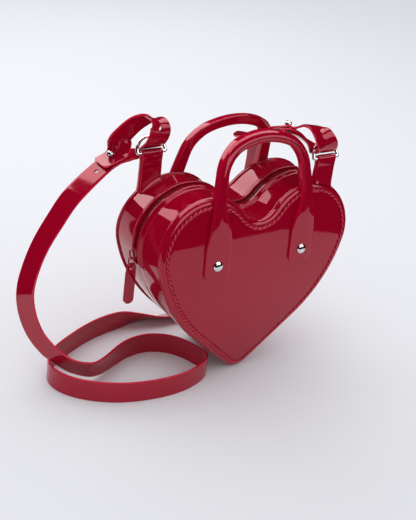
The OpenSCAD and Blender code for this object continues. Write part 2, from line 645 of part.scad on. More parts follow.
right_stud_row = len(left_shares) + len(middle_shares) + 1;
function row(i) = strap_rows[max(0, min(len(strap_rows) - 1, i))];
function blend(a, b, c, d, t) =
    (2 * b + (c - a) * t + (2 * a - 5 * b + 4 * c - d) * t * t
     + (3 * b - a - 3 * c + d) * t * t * t) / 2;
function unit(v) = v / norm(v);
function place(r) = [r[0], r[1], r[2]];
function width_way(r) = [r[3], r[4], r[5]];
function square_to(w, t) = unit(w - (w * t) * t);
strap_line = concat(
    [for (i = [0 : len(strap_rows) - 2]) for (k = [0 : strap_row_count - 1])
        blend(row(i - 1), row(i), row(i + 1), row(i + 2), k / strap_row_count)],
    [row(len(strap_rows) - 1)]);
strap_n = len(strap_line);
function strap_way(i) =
    unit(place(strap_line[min(strap_n - 1, i + 1)]) - place(strap_line[max(0, i - 1)]));
strap_points = [for (i = [0 : strap_n - 1])
    let (c = place(strap_line[i]), t = strap_way(i), w = square_to(width_way(strap_line[i]), t),
         n = cross(t, w))
    for (k = [[1, 1], [-1, 1], [-1, -1], [1, -1]])
        c + k[0] * w * strap_w / 2 + k[1] * n * strap_t / 2];
strap_faces = concat(
    [[0, 1, 2], [0, 2, 3]],
    [for (i = [0 : strap_n - 2]) for (k = [0 : 3]) for (half = [0, 1])
        let (a = 4 * i + k, b = 4 * i + (k + 1) % 4)
        half == 0 ? [a, a + 4, b + 4] : [a, b + 4, b]],
    [let (e = 4 * (strap_n - 1)) [e + 2, e + 1, e], let (e = 4 * (strap_n - 1)) [e + 3, e + 2, e]]);
// Gap between the two layers that a stud buttons together
layer_gap = 0.6;
// Play of a stud along its axis and round its shank
stud_gap = 0.55;
stud_base_t = 1;
// Depth that the ball sinks into its neck
ball_sink = 0.5;
// Spare holes along the left end, as row numbers of its route
spare_index = [10, 16, 18];
// Puts a child on the strap at one row, with +Z along the normal times side
module on_strap(i, side) {
    t = unit(place(row(i + 1)) - place(row(i - 1)));
    n = side * cross(t, square_to(width_way(row(i)), t));
    translate(place(row(i))) rotate([0, acos(n[2]), atan2(n[1], n[0])]) children();
}
module punch()
    translate([0, 0, -strap_t - layer_gap])
        cylinder(h = 3 * (strap_t + layer_gap), d = strap_hole_d, $fn = small_fn);
module punch_one()
    cylinder(h = 2 * strap_t + layer_gap, d = strap_hole_d, center = true, $fn = small_fn);
module stud() {
    top = 1.5 * strap_t + layer_gap + stud_gap;
    low = -strap_t / 2 - stud_gap;
    translate([0, 0, low - stud_base_t]) cylinder(h = stud_base_t, d = stud_base_d, $fn = round_fn);
    translate([0, 0, low - stud_base_t / 2])
        cylinder(h = top - low + stud_base_t, d = strap_hole_d - 2 * stud_gap, $fn = small_fn);
    translate([0, 0, top + stud_ball_d / 2 - ball_sink]) sphere(d = stud_ball_d, $fn = round_fn);
}
module shoulder_strap()
    color("#a00a28") difference() {
        polyhedron(points = strap_points, faces = strap_faces);
        on_strap(left_stud_row, -1) punch();
        on_strap(right_stud_row, 1) punch();
        for (i = spare_index) on_strap(i, 1) punch_one();
    }
module left_strap_stud() color("#c0b8b8") on_strap(left_stud_row, -1) stud();
module right_strap_stud() color("#c0b8b8") on_strap(right_stud_row, 1) stud();

front_panel();
back_panel();
front_gusset();
back_gusset();
front_stitching();
back_stitching();
zip_tape_front();
zip_tape_back();
zip_teeth_front();
zip_teeth_back();
zip_bottom_stop();
zip_top_stop();
slider_body();
pull_ring();
pull_tab();
front_handle();
back_handle();
front_rivets();
back_rivets();
front_rivet_washers();
back_rivet_washers();
left_side_tab();
right_side_tab();
left_ring();
right_ring();
shoulder_strap();
left_strap_stud();
right_strap_stud();
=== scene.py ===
import logging
from dataclasses import dataclass, field
from enum import Enum
from math import asin, atan2, cos, degrees, pi, radians, sin, sqrt, tan
from typing import Callable

import bmesh
import bpy
import numpy as np
from bpy.types import Material, Node, NodeSocket as Socket, NodeTree, Object
from mathutils import Matrix, Vector
from mathutils.geometry import delaunay_2d_cdt


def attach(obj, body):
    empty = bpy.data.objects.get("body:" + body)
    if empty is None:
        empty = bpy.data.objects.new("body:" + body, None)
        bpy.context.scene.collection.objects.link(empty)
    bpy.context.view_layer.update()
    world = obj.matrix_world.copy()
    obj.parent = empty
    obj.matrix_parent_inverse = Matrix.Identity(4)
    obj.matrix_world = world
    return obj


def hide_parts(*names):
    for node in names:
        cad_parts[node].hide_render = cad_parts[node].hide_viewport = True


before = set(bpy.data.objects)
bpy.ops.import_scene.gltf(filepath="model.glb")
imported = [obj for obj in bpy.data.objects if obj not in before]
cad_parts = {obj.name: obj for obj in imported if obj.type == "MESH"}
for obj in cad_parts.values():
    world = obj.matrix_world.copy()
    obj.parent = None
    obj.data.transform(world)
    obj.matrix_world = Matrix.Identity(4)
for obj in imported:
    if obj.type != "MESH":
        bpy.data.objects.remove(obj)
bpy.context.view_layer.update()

LOG = logging.getLogger("purse")
MERGE = 1e-7  # points nearer than this become one
GLOW_ATTRIBUTE = "painted_edge_glow"  # the attribute that carries the painted glow of light through thin edges
FLIP = np.array([-1, 1])  # turns the right half of an outline into the left one
ACROSS = Vector((1, 0, 0))
Corner = tuple[float, float, float]
Pair = tuple[float, float]
Row = tuple[int, int, int, int, int, int]
Colour = tuple[float, float, float]
Marks = tuple[Socket, Socket, Socket]


def added(name: str, data: bpy.types.ID) -> Object:
    """A new object in the scene."""
    made = bpy.data.objects.new(name, data)
    bpy.context.scene.collection.objects.link(made)
    return made


class Slot(Enum):
    """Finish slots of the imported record."""

    SHELL = "glossy_shell"
    STRAP = "glossy_strap"
    THREAD = "thread"
    CLOTH = "zip_cloth"
    COIL = "zip_plastic"
    PAINTED = "zip_metal"
    CHROME = "chrome"


class Side(Enum):
    """The two halves of the purse, by the sign of their Y."""

    FRONT = -1
    BACK = 1


# ---------------------------------------------------------------- forms


@dataclass(frozen=True)
class Shape:
    """Points and faces of a form, and the share of painted light glowing through a thin edge at
    each point, from 0 to 1.
    """

    points: np.ndarray
    faces: list[tuple[int, ...]]
    painted_glow: np.ndarray | None = None

    def on(self, side: Side) -> "Shape":
        """The same form on one half of the purse; it is made for the front."""
        return Shape(self.points * np.array([1, -side.value, 1]), self.faces, self.painted_glow)

    def moved(self, place: Matrix) -> "Shape":
        """The form taken to a place by a matrix."""
        m = np.array(place)
        return Shape(self.points @ m[:3, :3].T + m[:3, 3], self.faces, self.painted_glow)


def joined(shapes: list[Shape]) -> Shape:
    """One form of several.

    Args:
        shapes: The forms, with or without painted edge glow.

    Returns:
        A form that holds them all.
    """
    faces, count = [], 0
    for s in shapes:
        faces += [tuple(i + count for i in f) for f in s.faces]
        count += len(s.points)
    painted_glows = [np.zeros(len(s.points)) if s.painted_glow is None else s.painted_glow for s in shapes]
    return Shape(np.vstack([s.points for s in shapes]), faces, np.concatenate(painted_glows))


def rounded(corners: list[Corner], steps: int = 4) -> np.ndarray:
    """A closed outline with every corner rounded.

    Args:
        corners: Each corner's two coordinates, and how far from it the curve starts.
        steps: Segments of each rounded corner.

    Returns:
        The outline's points, the same count for the same corners.
    """
    most = 0.49  # share of an edge that one corner may take
    places = np.array([c[:2] for c in corners], float)
    out = []
    for i, (p, (_, _, cut)) in enumerate(zip(places, corners)):
        ends = []
        for q in (places[i - 1], places[(i + 1) % len(places)]):
            length = np.linalg.norm(q - p)
            ends.append(p + (q - p) / length * min(cut, most * length))
        for t in np.linspace(0, 1, steps + 1):
            out.append((1 - t) ** 2 * ends[0] + 2 * t * (1 - t) * p + t * t * ends[1])
    return np.array(out)


def circle(radius: float, count: int) -> np.ndarray:
    """The points of a circle round the origin, in two coordinates."""
    a = np.linspace(0, 2 * pi, count, endpoint=False)
    return radius * np.c_[np.cos(a), np.sin(a)]


def upright(flat: np.ndarray, y: np.ndarray | float) -> np.ndarray:
    """Points in X and Z, set at some Y."""
    return np.c_[flat[:, 0], np.broadcast_to(y, len(flat)), flat[:, 1]]


def loft(rings: list[np.ndarray], looped: bool = False, caps: bool = True,
         painted_glow: np.ndarray | None = None) -> Shape:
    """A skin over closed rings of the same number of points.

    Args:
        rings: The rings in order.
        looped: Whether the last ring joins the first.
        caps: Whether the two ends are closed with a face.
        painted_glow: The share of painted light glowing through a thin edge at each point.

    Returns:
        The skin.
    """
    m, n = len(rings[0]), len(rings)
    faces = []
    for i in range(n if looped else n - 1):
        a, b = i * m, (i + 1) % n * m
        faces += [(a + k, a + (k + 1) % m, b + (k + 1) % m, b + k) for k in range(m)]
    if caps and not looped:
        faces += [tuple(range(m))[::-1], tuple(range((n - 1) * m, n * m))]
    return Shape(np.vstack(rings), faces, painted_glow)


def turned(profile: list[Pair], count: int = 40) -> Shape:
    """A turned form about Z, from the radius and height of each ring."""
    unit = circle(1.0, count)
    return loft([np.c_[unit * max(r, 1e-5), np.full(count, z)] for r, z in profile])


def smooth_step(value: np.ndarray | float) -> np.ndarray | float:
    """Eases from 0 to 1 as the value goes from 0 to 1."""
    t = np.clip(value, 0, 1)
    return t * t * (3 - 2 * t)


def inside(points: np.ndarray, loop: np.ndarray) -> np.ndarray:
    """Which points lie inside an outline.

    Args:
        points: The points tested, in two coordinates.
        loop: The outline.

    Returns:
        True or False for each point.
    """
    a, b = loop, np.roll(loop, -1, 0)
    x, z = points[:, :1], points[:, 1:]
    spans = (a[:, 1] > z) != (b[:, 1] > z)
    rise = np.where(b[:, 1] == a[:, 1], 1, b[:, 1] - a[:, 1])
    cross = a[:, 0] + (z - a[:, 1]) * (b[:, 0] - a[:, 0]) / rise
    return (spans & (x < cross)).sum(1) % 2 == 1


def gap_to(points: np.ndarray, loop: np.ndarray) -> np.ndarray:
    """The distance from each point to an outline's nearest point."""
    return np.array([np.hypot(*(loop - p).T).min() for p in points])


def filled(loop: np.ndarray, pitch: float, hole: np.ndarray | None = None) -> Shape:
    """Fills a flat outline with small triangles, so that it can be bent.

    Args:
        loop: The outline's points in two coordinates.
        pitch: Distance between the points added inside.
        hole: An outline inside the first that stays open.

    Returns:
        A form with two coordinates.
    """
    clear = 0.45 * pitch  # how far the added points stay from an outline
    rows = [loop] if hole is None else [loop, hole]
    edges, count = [], 0
    for r in rows:
        edges += [(count + i, count + (i + 1) % len(r)) for i in range(len(r))]
        count += len(r)
    low, high = loop.min(0), loop.max(0)
    grid = np.array([(x, z) for x in np.arange(low[0], high[0], pitch)
                     for z in np.arange(low[1], high[1], pitch)])

    def within(points: np.ndarray) -> np.ndarray:
        """Which points lie inside the outline and outside the hole."""
        ok = inside(points, loop)
        return ok if hole is None else ok & ~inside(points, hole)

    keep = within(grid) & (gap_to(grid, np.vstack(rows)) > clear)
    points = np.vstack([*rows, grid[keep]])
    made = delaunay_2d_cdt([Vector(p) for p in points], edges, [], 0, MERGE)
    flat = np.array([tuple(v) for v in made[0]])
    good = within(np.array([flat[list(f)].mean(0) for f in made[2]]))
    return Shape(flat, [tuple(f) for f, ok in zip(made[2], good) if ok])


def frame_of(forward: Vector, across: Vector, place: Vector) -> Matrix:
    """A place with Z forward and X as near across as it can be.

    Args:
        forward: The way that Z points.
        across: The way that X leans to.
        place: The origin.

    Returns:
        The matrix.
    """
    z = forward.normalized()
    x = (across - across.project(z)).normalized()
    return Matrix.LocRotScale(place, Matrix((x, z.cross(x), z)).transposed(), None)


def swept(line: np.ndarray, across: np.ndarray | Corner, section: np.ndarray,
          scale: np.ndarray | float = 1.0, looped: bool = False) -> Shape:
    """A section carried along a line.

    Args:
        line: The line's points.
        across: The way that the section's first coordinate runs, at each point or at all.
        section: The section's outline.
        scale: Share of the section's first coordinate kept at each point.
        looped: Whether the line is closed.

    Returns:
        The form, closed at its ends.
    """
    way = np.roll(line, -1, 0) - np.roll(line, 1, 0)
    if not looped:
        way[0], way[-1] = line[1] - line[0], line[-1] - line[-2]
    way /= np.linalg.norm(way, axis=1)[:, None]
    across = np.broadcast_to(across, line.shape)
    u = across - (across * way).sum(1)[:, None] * way
    u /= np.linalg.norm(u, axis=1)[:, None]
    keep = np.broadcast_to(scale, len(line))
    rings = [p + section[:, :1] * k * a + section[:, 1:] * b
             for p, a, b, k in zip(line, u, np.cross(way, u), keep)]
    return loft(rings, looped)


def curve_through(rows: np.ndarray, steps: int) -> np.ndarray:
    """A smooth line through rows of numbers.

    Args:
        rows: The rows that the line goes through.
        steps: Steps between two rows.

    Returns:
        The line's rows, the last one included.
    """
    out = []
    last = len(rows) - 1
    for i in range(last):
        a, b, c, d = (rows[min(max(k, 0), last)] for k in (i - 1, i, i + 1, i + 2))
        for t in np.arange(steps) / steps:
            out.append((2 * b + (c - a) * t + (2 * a - 5 * b + 4 * c - d) * t**2
                        + (3 * b - a - 3 * c + d) * t**3) / 2)
    return np.array([*out, rows[-1]])


def length_along(points: np.ndarray) -> np.ndarray:
    """The length from the first point to each point of a closed line, and back to it."""
    steps = np.linalg.norm(np.roll(points, -1, 0) - points, axis=1)
    return np.concatenate([[0], np.cumsum(steps)])


# ------------------------------------------------------------ materials


class Nodes:
    """Adds and joins the nodes of one tree."""

    def __init__(self, tree: NodeTree) -> None:
        """Keeps the tree that the nodes go into."""
        self.tree = tree

    def fill(self, node: Node, values: dict) -> Node:
        """Sets the inputs of a node.

        Args:
            node: The node.
            values: Input names or numbers, each with a value or an output to join.

        Returns:
            The node.
        """
        for name, value in values.items():
            socket = node.inputs[name]
            if isinstance(value, Socket):
                self.tree.links.new(value, socket)
            else:
                socket.default_value = (*value, 1) if socket.type == "RGBA" else value
        return node

    def add(self, kind: str, values: dict | None = None, **settings: object) -> Node:
        """Adds a node.

        Args:
            kind: The node's type, without the word ShaderNode.
            values: Its inputs, as in fill.
            settings: Properties of the node.

        Returns:
            The node.
        """
        node = self.tree.nodes.new("ShaderNode" + kind)
        for name, value in settings.items():
            setattr(node, name, value)
        return self.fill(node, values or {})

    def mix(self, share: object, a: object, b: object) -> Socket:
        """Mixes two colours by a share of the second."""
        return self.add("Mix", {0: share, 6: a, 7: b}, data_type="RGBA").outputs[2]

    def math(self, operation: str, *values: object) -> Socket:
        """The result of one operation on numbers or outputs."""
        return self.add("Math", dict(enumerate(values)), operation=operation).outputs[0]

    def noise(self, where: object, scale: object, detail: float = 2.0,
              rough: float = 0.5) -> Socket:
        """Cloudy noise."""
        return self.add("TexNoise", {"Vector": where, "Scale": scale, "Detail": detail,
                                     "Roughness": rough}).outputs[0]


def new_group(name: str, inputs: dict[str, float | None],
              make: Callable[[Nodes, dict], dict[str, Socket]]) -> NodeTree:
    """Builds a shader node group.

    Args:
        name: The group's name.
        inputs: Its inputs' names with their defaults; None makes a vector.
        make: Builds its nodes from its inputs and names the numbers that it puts out.

    Returns:
        The group.
    """
    tree = bpy.data.node_groups.new(name, "ShaderNodeTree")
    for label, value in inputs.items():
        kind = "NodeSocketVector" if value is None else "NodeSocketFloat"
        socket = tree.interface.new_socket(label, in_out="INPUT", socket_type=kind)
        if value is not None:
            socket.default_value = value
    nodes = Nodes(tree)
    made = make(nodes, tree.nodes.new("NodeGroupInput").outputs)
    for label in made:
        tree.interface.new_socket(label, in_out="OUTPUT", socket_type="NodeSocketFloat")
    nodes.fill(tree.nodes.new("NodeGroupOutput"), made)
    return tree


def skin_nodes(n: Nodes, at: dict) -> dict[str, Socket]:
    """Slow waves of a moulded skin, the clouds of its colour and the haze of handling.

    Args:
        n: The group's nodes.
        at: The group's inputs.

    Returns:
        What the group puts out.
    """
    haze = n.noise(at["Vector"], at["Haze Scale"], 5.0, 0.65)
    soft = n.add("MapRange", {"Value": haze, "From Min": 0.42, "From Max": 0.72})
    return {"Wave": n.noise(at["Vector"], at["Wave Scale"], 1.0, 0.4),
            "Cloud": n.noise(at["Vector"], at["Cloud Scale"], 3.0), "Haze": soft.outputs[0]}


def speck_nodes(n: Nodes, at: dict) -> dict[str, Socket]:
    """Sparse fine specks, such as settle on a glossy skin.

    Args:
        n: The group's nodes.
        at: The group's inputs.

    Returns:
        What the group puts out.
    """
    cell = n.add("TexVoronoi", {"Vector": at["Vector"], "Scale": at["Scale"]})
    near = n.math("LESS_THAN", cell.outputs["Distance"], at["Size"])
    few = n.add("MapRange", {"Value": n.noise(at["Vector"], 45.0), "From Min": 0.5,
                             "From Max": 0.7})
    return {"Speck": n.math("MULTIPLY", near, few.outputs[0])}


def weave_nodes(n: Nodes, at: dict) -> dict[str, Socket]:
    """Crossing threads of a plain weave.

    Args:
        n: The group's nodes.
        at: The group's inputs.

    Returns:
        What the group puts out.
    """
    x, y, z = (n.add("TexWave", {"Vector": at["Vector"], "Scale": at["Scale"], "Distortion": 0.6},
                     wave_type="BANDS", bands_direction=way).outputs[1] for way in "XYZ")
    return {"Height": n.math("ADD", n.math("MAXIMUM", x, y), z)}


@dataclass
class Groups:
    """The shader node groups that the finishes share, each built once."""

    skin: NodeTree = field(default_factory=lambda: new_group(
        "Moulded skin", {"Vector": None, "Wave Scale": 30.0, "Cloud Scale": 12.0,
                         "Haze Scale": 90.0}, skin_nodes))
    specks: NodeTree = field(default_factory=lambda: new_group(
        "Fine specks", {"Vector": None, "Scale": 900.0, "Size": 0.08}, speck_nodes))
    weave: NodeTree = field(default_factory=lambda: new_group(
        "Plain weave", {"Vector": None, "Scale": 2400.0}, weave_nodes))


@dataclass(frozen=True)
class Finish:
    """What every finish shares; each kind of finish has its own values and marks."""

    name: str
    colour: Colour = (0.5, 0.5, 0.5)
    other: Colour = (0.5, 0.5, 0.5)  # the colour that it clouds or wears to; for woven tape, the yarns' tops beside the painted shade between them
    gloss: Pair | None = None  # lowest and highest roughness
    relief: float = 0.00006  # height of its bumps in metres
    strength: float = 1.0  # of the bumps
    scales: Corner = (30.0, 12.0, 90.0)  # of the skin's waves, clouds and haze
    fixed: tuple[tuple[str, float | Colour], ...] = ()  # shader inputs that never change

    def marks(self, n: Nodes, kit: Groups, where: Socket) -> Marks:
        """What changes over the surface.

        Args:
            n: The material's nodes.
            kit: The shared node groups.
            where: The object's coordinates.

        Returns:
            The share of the other colour, the share of roughness, and the height.
        """
        scales = zip(("Wave Scale", "Cloud Scale", "Haze Scale"), self.scales)
        skin = n.add("Group", {"Vector": where, **dict(scales)}, node_tree=kit.skin).outputs
        return skin["Cloud"], skin["Haze"], skin["Wave"]

    def base(self, n: Nodes, kit: Groups, where: Socket, share: Socket) -> Socket:
        """The base colour."""
        return n.mix(share, self.colour, self.other)

    def make(self, kit: Groups) -> Material:
        """Builds the material.

        Args:
            kit: The shared node groups.

        Returns:
            The material.
        """
        made = bpy.data.materials.new(self.name)
        made.use_nodes = True
        made.node_tree.nodes.clear()
        n = Nodes(made.node_tree)
        where = n.add("TexCoord").outputs["Object"]
        share, rough, height = self.marks(n, kit, where)
        bump = n.add("Bump", {"Height": height, "Strength": self.strength, "Distance": self.relief})
        values = {"Base Color": self.base(n, kit, where, share), "Normal": bump.outputs[0],
                  **dict(self.fixed)}
        if self.gloss:
            values["Roughness"] = n.add("MapRange", {"Value": rough, "To Min": self.gloss[0],
                                                     "To Max": self.gloss[1]}).outputs[0]
        n.add("OutputMaterial", {"Surface": n.add("BsdfPrincipled", values).outputs[0]})
        return made


@dataclass(frozen=True)
class GlossyPVC(Finish):
    """Glossy moulded PVC, with painted light glowing through its thin edges."""

    colour: Colour = (0.365, 0.0005, 0.0195)
    other: Colour = (0.315, 0.0004, 0.016)
    edge: Colour = (0.62, 0.003, 0.04)  # painted glow of light through cut and thin edges
    dust: Colour = (0.45, 0.25, 0.27)
    gloss: Pair = (0.035, 0.075)
    fixed: tuple = (("IOR", 1.75), ("Specular Tint", (1.0, 0.42, 0.47)))

    def base(self, n: Nodes, kit: Groups, where: Socket, share: Socket) -> Socket:
        """The base colour, with painted light glowing through the thin edges, and dust specks.

        Args:
            n: The material's nodes.
            kit: The shared node groups.
            where: The object's coordinates.
            share: How much of the other colour is taken.

        Returns:
            The colour.
        """
        # how much painted light glows through a thin edge at this point
        thin = n.add("Attribute", attribute_name=GLOW_ATTRIBUTE).outputs["Fac"]
        body = n.mix(thin, n.mix(share, self.colour, self.other), self.edge)
        specks = n.add("Group", {"Vector": where}, node_tree=kit.specks)
        return n.mix(specks.outputs[0], body, self.dust)


@dataclass(frozen=True)
class Plated(Finish):
    """Bright plated metal with faint handling marks."""

    colour: Colour = (0.78, 0.78, 0.8)
    other: Colour = (0.6864, 0.6864, 0.704)
    gloss: Pair = (0.04, 0.16)
    relief: float = 0.00001
    scales: Corner = (250.0, 150.0, 400.0)
    fixed: tuple = (("Metallic", 1.0),)


@dataclass(frozen=True)
class Thread(Finish):
    """Thick waxed thread, its colour clouded towards a darker red."""

    colour: Colour = (0.72, 0.006, 0.06)
    other: Colour = (0.45, 0.002, 0.03)
    gloss: Pair = (0.2, 0.45)
    relief: float = 0.00008
    strength: float = 0.6
    scales: Corner = (900.0, 350.0, 1200.0)
    plies: float = 1500.0  # scale of the plies
    fixed: tuple = (("IOR", 1.7), ("Specular Tint", (1.0, 0.5, 0.55)))

    def marks(self, n: Nodes, kit: Groups, where: Socket) -> Marks:
        """Clouds for the colour, and plies for the roughness and the height."""
        plies = n.noise(where, self.plies)
        return super().marks(n, kit, where)[0], plies, plies


@dataclass(frozen=True)
class Woven(Finish):
    """Woven zip tape, with painted shade between its yarns."""

    # the colour is the painted shade in the gaps between the yarns; the other colour is the yarns'
    # tops
    colour: Colour = (0.05, 0.0, 0.003)
    other: Colour = (0.16, 0.001, 0.01)
    relief: float = 0.0002
    fixed: tuple = (("Roughness", 0.75), ("Sheen Weight", 0.15))

    def marks(self, n: Nodes, kit: Groups, where: Socket) -> Marks:
        """The weave, for all three."""
        return (n.add("Group", {"Vector": where}, node_tree=kit.weave).outputs[0],) * 3


@dataclass(frozen=True)
class Satin(Finish):
    """Satin plastic or paint with fine wear."""

    colour: Colour = (0.24, 0.001, 0.012)
    other: Colour = (0.38, 0.01, 0.03)
    gloss: Pair = (0.18, 0.4)
    relief: float = 0.00003
    scales: Corner = (500.0, 200.0, 700.0)

    def marks(self, n: Nodes, kit: Groups, where: Socket) -> Marks:
        """Haze for the colour and clouds for the roughness."""
        cloud, haze, wave = super().marks(n, kit, where)
        return haze, cloud, wave


def wardrobe() -> dict[Slot, Material]:
    """The material of each finish slot."""
    kit = Groups()
    return {slot: finish.make(kit) for slot, finish in ((Slot.SHELL, GlossyPVC("glossy_shell_red")),
        (Slot.STRAP, GlossyPVC("glossy_strap_red", colour=(0.385, 0.0005, 0.02))),
        (Slot.THREAD, Thread("waxed_thread")), (Slot.CLOTH, Woven("zip_tape_cloth")),
        (Slot.COIL, Satin("zip_coil_plastic")),
        (Slot.PAINTED, Satin("painted_zip_metal", colour=(0.3, 0.002, 0.018), gloss=(0.1, 0.25))),
        (Slot.CHROME, Plated("polished_chrome")))}


# ---------------------------------------------------------- the outline


@dataclass(frozen=True)
class Heart:
    """The heart's outline and the bow of its faces, as in the CAD source."""

    width: float = 0.2  # across both lobes
    depth: float = 0.08  # between the two faces at half height
    lobe_r: float = 0.047  # radius of each lobe
    shoulder_r: float = 0.15  # radius of the side below a lobe
    tip_r: float = 0.018  # radius of the tip
    flat: float = 0.0003  # depth of the small flat under the tip
    valley_round: float = 0.0155  # the valley's radius past half the gap between the lobes
    bow: float = 0.009  # how far each face bulges at half height
    side_angle: float = 46.0  # where the tip meets the side, in degrees below the horizontal
    lobe_low_angle: float = 15.0  # where the side meets the lobe

    @property
    def lobe(self) -> Pair:
        """Middle of the right lobe."""
        x = self.width / 2 - self.lobe_r
        back, side = radians(self.lobe_low_angle), radians(self.side_angle)
        sx = x + (self.lobe_r - self.shoulder_r) * cos(back)
        tip = self.tip_r - self.flat
        sz = (sx * cos(side) + self.shoulder_r - self.tip_r) / sin(side) + tip
        return x, sz + (self.lobe_r - self.shoulder_r) * sin(back)

    @property
    def height(self) -> float:
        """Height of the lobes' tops."""
        return self.lobe[1] + self.lobe_r

    @property
    def bow_r(self) -> float:
        """Radius of each face's bulge."""
        return ((self.height / 2)**2 + self.bow**2) / (2 * self.bow)

    def arcs(self) -> list[tuple[float, float, float, float, float, int, int]]:
        """Arcs of the right half from the tip up: middle, radius, angles, points and way."""
        lx, lz = self.lobe
        back = radians(self.lobe_low_angle)
        sx = lx + (self.lobe_r - self.shoulder_r) * cos(back)
        sz = lz - (self.lobe_r - self.shoulder_r) * sin(back)
        valley_r = self.valley_round + lx - self.lobe_r
        vz = lz + sqrt((self.lobe_r + valley_r) ** 2 - lx**2)
        turn = degrees(atan2(vz - lz, -lx))
        low, side = -self.lobe_low_angle, -self.side_angle
        return [(0.0, self.tip_r - self.flat, self.tip_r, -90.0, side, 12, 1),
                (sx, sz, self.shoulder_r, side, low, 44, 1),
                (lx, lz, self.lobe_r, low, turn, 80, 1),
                (0.0, vz, valley_r, turn - 180, -90.0, 22, -1)]

    def loop(self, inset: float = 0.0) -> tuple[np.ndarray, np.ndarray]:
        """The outline drawn in by some distance.

        Args:
            inset: The distance inwards.

        Returns:
            The points in X and Z, and the way out of the heart at each.
        """
        points, ways = [], []
        for cx, cz, r, a0, a1, count, way in self.arcs():
            for a in np.radians(np.linspace(a0, a1, count, endpoint=False)):
                out = np.array([cos(a), sin(a)])
                points.append(np.array([cx, cz]) + (r - way * inset) * out)
                ways.append(way * out)
        points.append(np.array([0, cz - r - inset]))
        ways.append(np.array([0.0, 1.0]))
        p, w = (np.array(v + [q * FLIP for q in v[-2:0:-1]]) for v in (points, ways))
        p[:, 1] = np.maximum(p[:, 1], 0)
        return p, w

    def face_y(self, z: np.ndarray | float, rise: float = 0.0) -> np.ndarray | float:
        """Y of the front face at a height, or of a skin that rises some distance off it."""
        r = self.bow_r
        return r - self.depth / 2 - np.sqrt((r + rise) ** 2 - (z - self.height / 2) ** 2)

    def bowed(self, flat: np.ndarray, depth: float) -> np.ndarray:
        """Points in X and Z, laid some distance behind the front face."""
        return upright(flat, self.face_y(flat[:, 1], -depth))

    def on_face(self, x: float, z: float, rise: float) -> tuple[Vector, Vector]:
        """A place some distance off the front face, and the way straight out there."""
        out = asin((z - self.height / 2) / (self.bow_r + rise))
        return (Vector((x, float(self.face_y(z, rise)), z)), Vector((0, -cos(out), sin(out))))


# --------------------------------------------------------- sub-assemblies


@dataclass
class SubAssembly:
    """A group of pieces that are built and dressed together."""

    looks: dict[Slot, Material]
    heart: Heart

    def place(self, name: str, shape: Shape, slot: Slot, node: str = "", body: str = "purse",
              sharp: float = 40.0, look: Slot | None = None) -> Object:
        """Makes a piece with its material, hangs it on its body and hides the CAD node that it
        stands for.

        Args:
            name: The piece's name.
            shape: Its form.
            slot: The record's finish slot.
            node: The CAD node that it stands for, if any.
            body: The CAD body that it rides on.
            sharp: Edges steeper than this many degrees show as edges.
            look: The slot whose material it wears, if not its own.

        Returns:
            The piece.
        """
        mesh = bpy.data.meshes.new(name)
        mesh.from_pydata(shape.points.tolist(), [], shape.faces)
        if shape.painted_glow is not None:
            values = mesh.attributes.new(GLOW_ATTRIBUTE, "FLOAT", "POINT")
            values.data.foreach_set("value", shape.painted_glow.astype(np.float32))
        bm = bmesh.new()
        bm.from_mesh(mesh)
        bmesh.ops.remove_doubles(bm, verts=bm.verts, dist=MERGE)
        bmesh.ops.recalc_face_normals(bm, faces=bm.faces)
        bm.to_mesh(mesh)
        bm.free()
        mesh.polygons.foreach_set("use_smooth", np.ones(len(mesh.polygons), bool))
        mesh.set_sharp_from_angle(angle=radians(sharp))
        mesh.materials.append(self.looks[look or slot])
        piece = added(name, mesh)
        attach(piece, body)
        if node:
            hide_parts(node)
        LOG.info("%s: %d faces on %s", name, len(mesh.polygons), body)
        return piece

    def pair(self, *pieces: tuple[str, Shape, Slot, str, float]) -> None:
        """Makes pieces for the front and their mirror images for the back.

        Args:
            pieces: Name, form, slot, CAD node and steepest smooth edge of each, as in place.
        """
        for side in Side:
            word = side.name.lower()
            for name, shape, slot, node, sharp in pieces:
                self.place(f"{word}_{name}", shape.on(side), slot, node and f"{word}_{node}",
                           sharp=sharp)

    def dress(self, slot: Slot, *nodes: str) -> None:
        """Gives CAD nodes that stay a material.

        Args:
            slot: The slot whose material they wear.
            nodes: The nodes' names.
        """
        for node in nodes:
            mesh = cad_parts[node].data
            mesh.materials.clear()
            mesh.materials.append(self.looks[slot])
            LOG.info("%s: the CAD node, dressed", node)


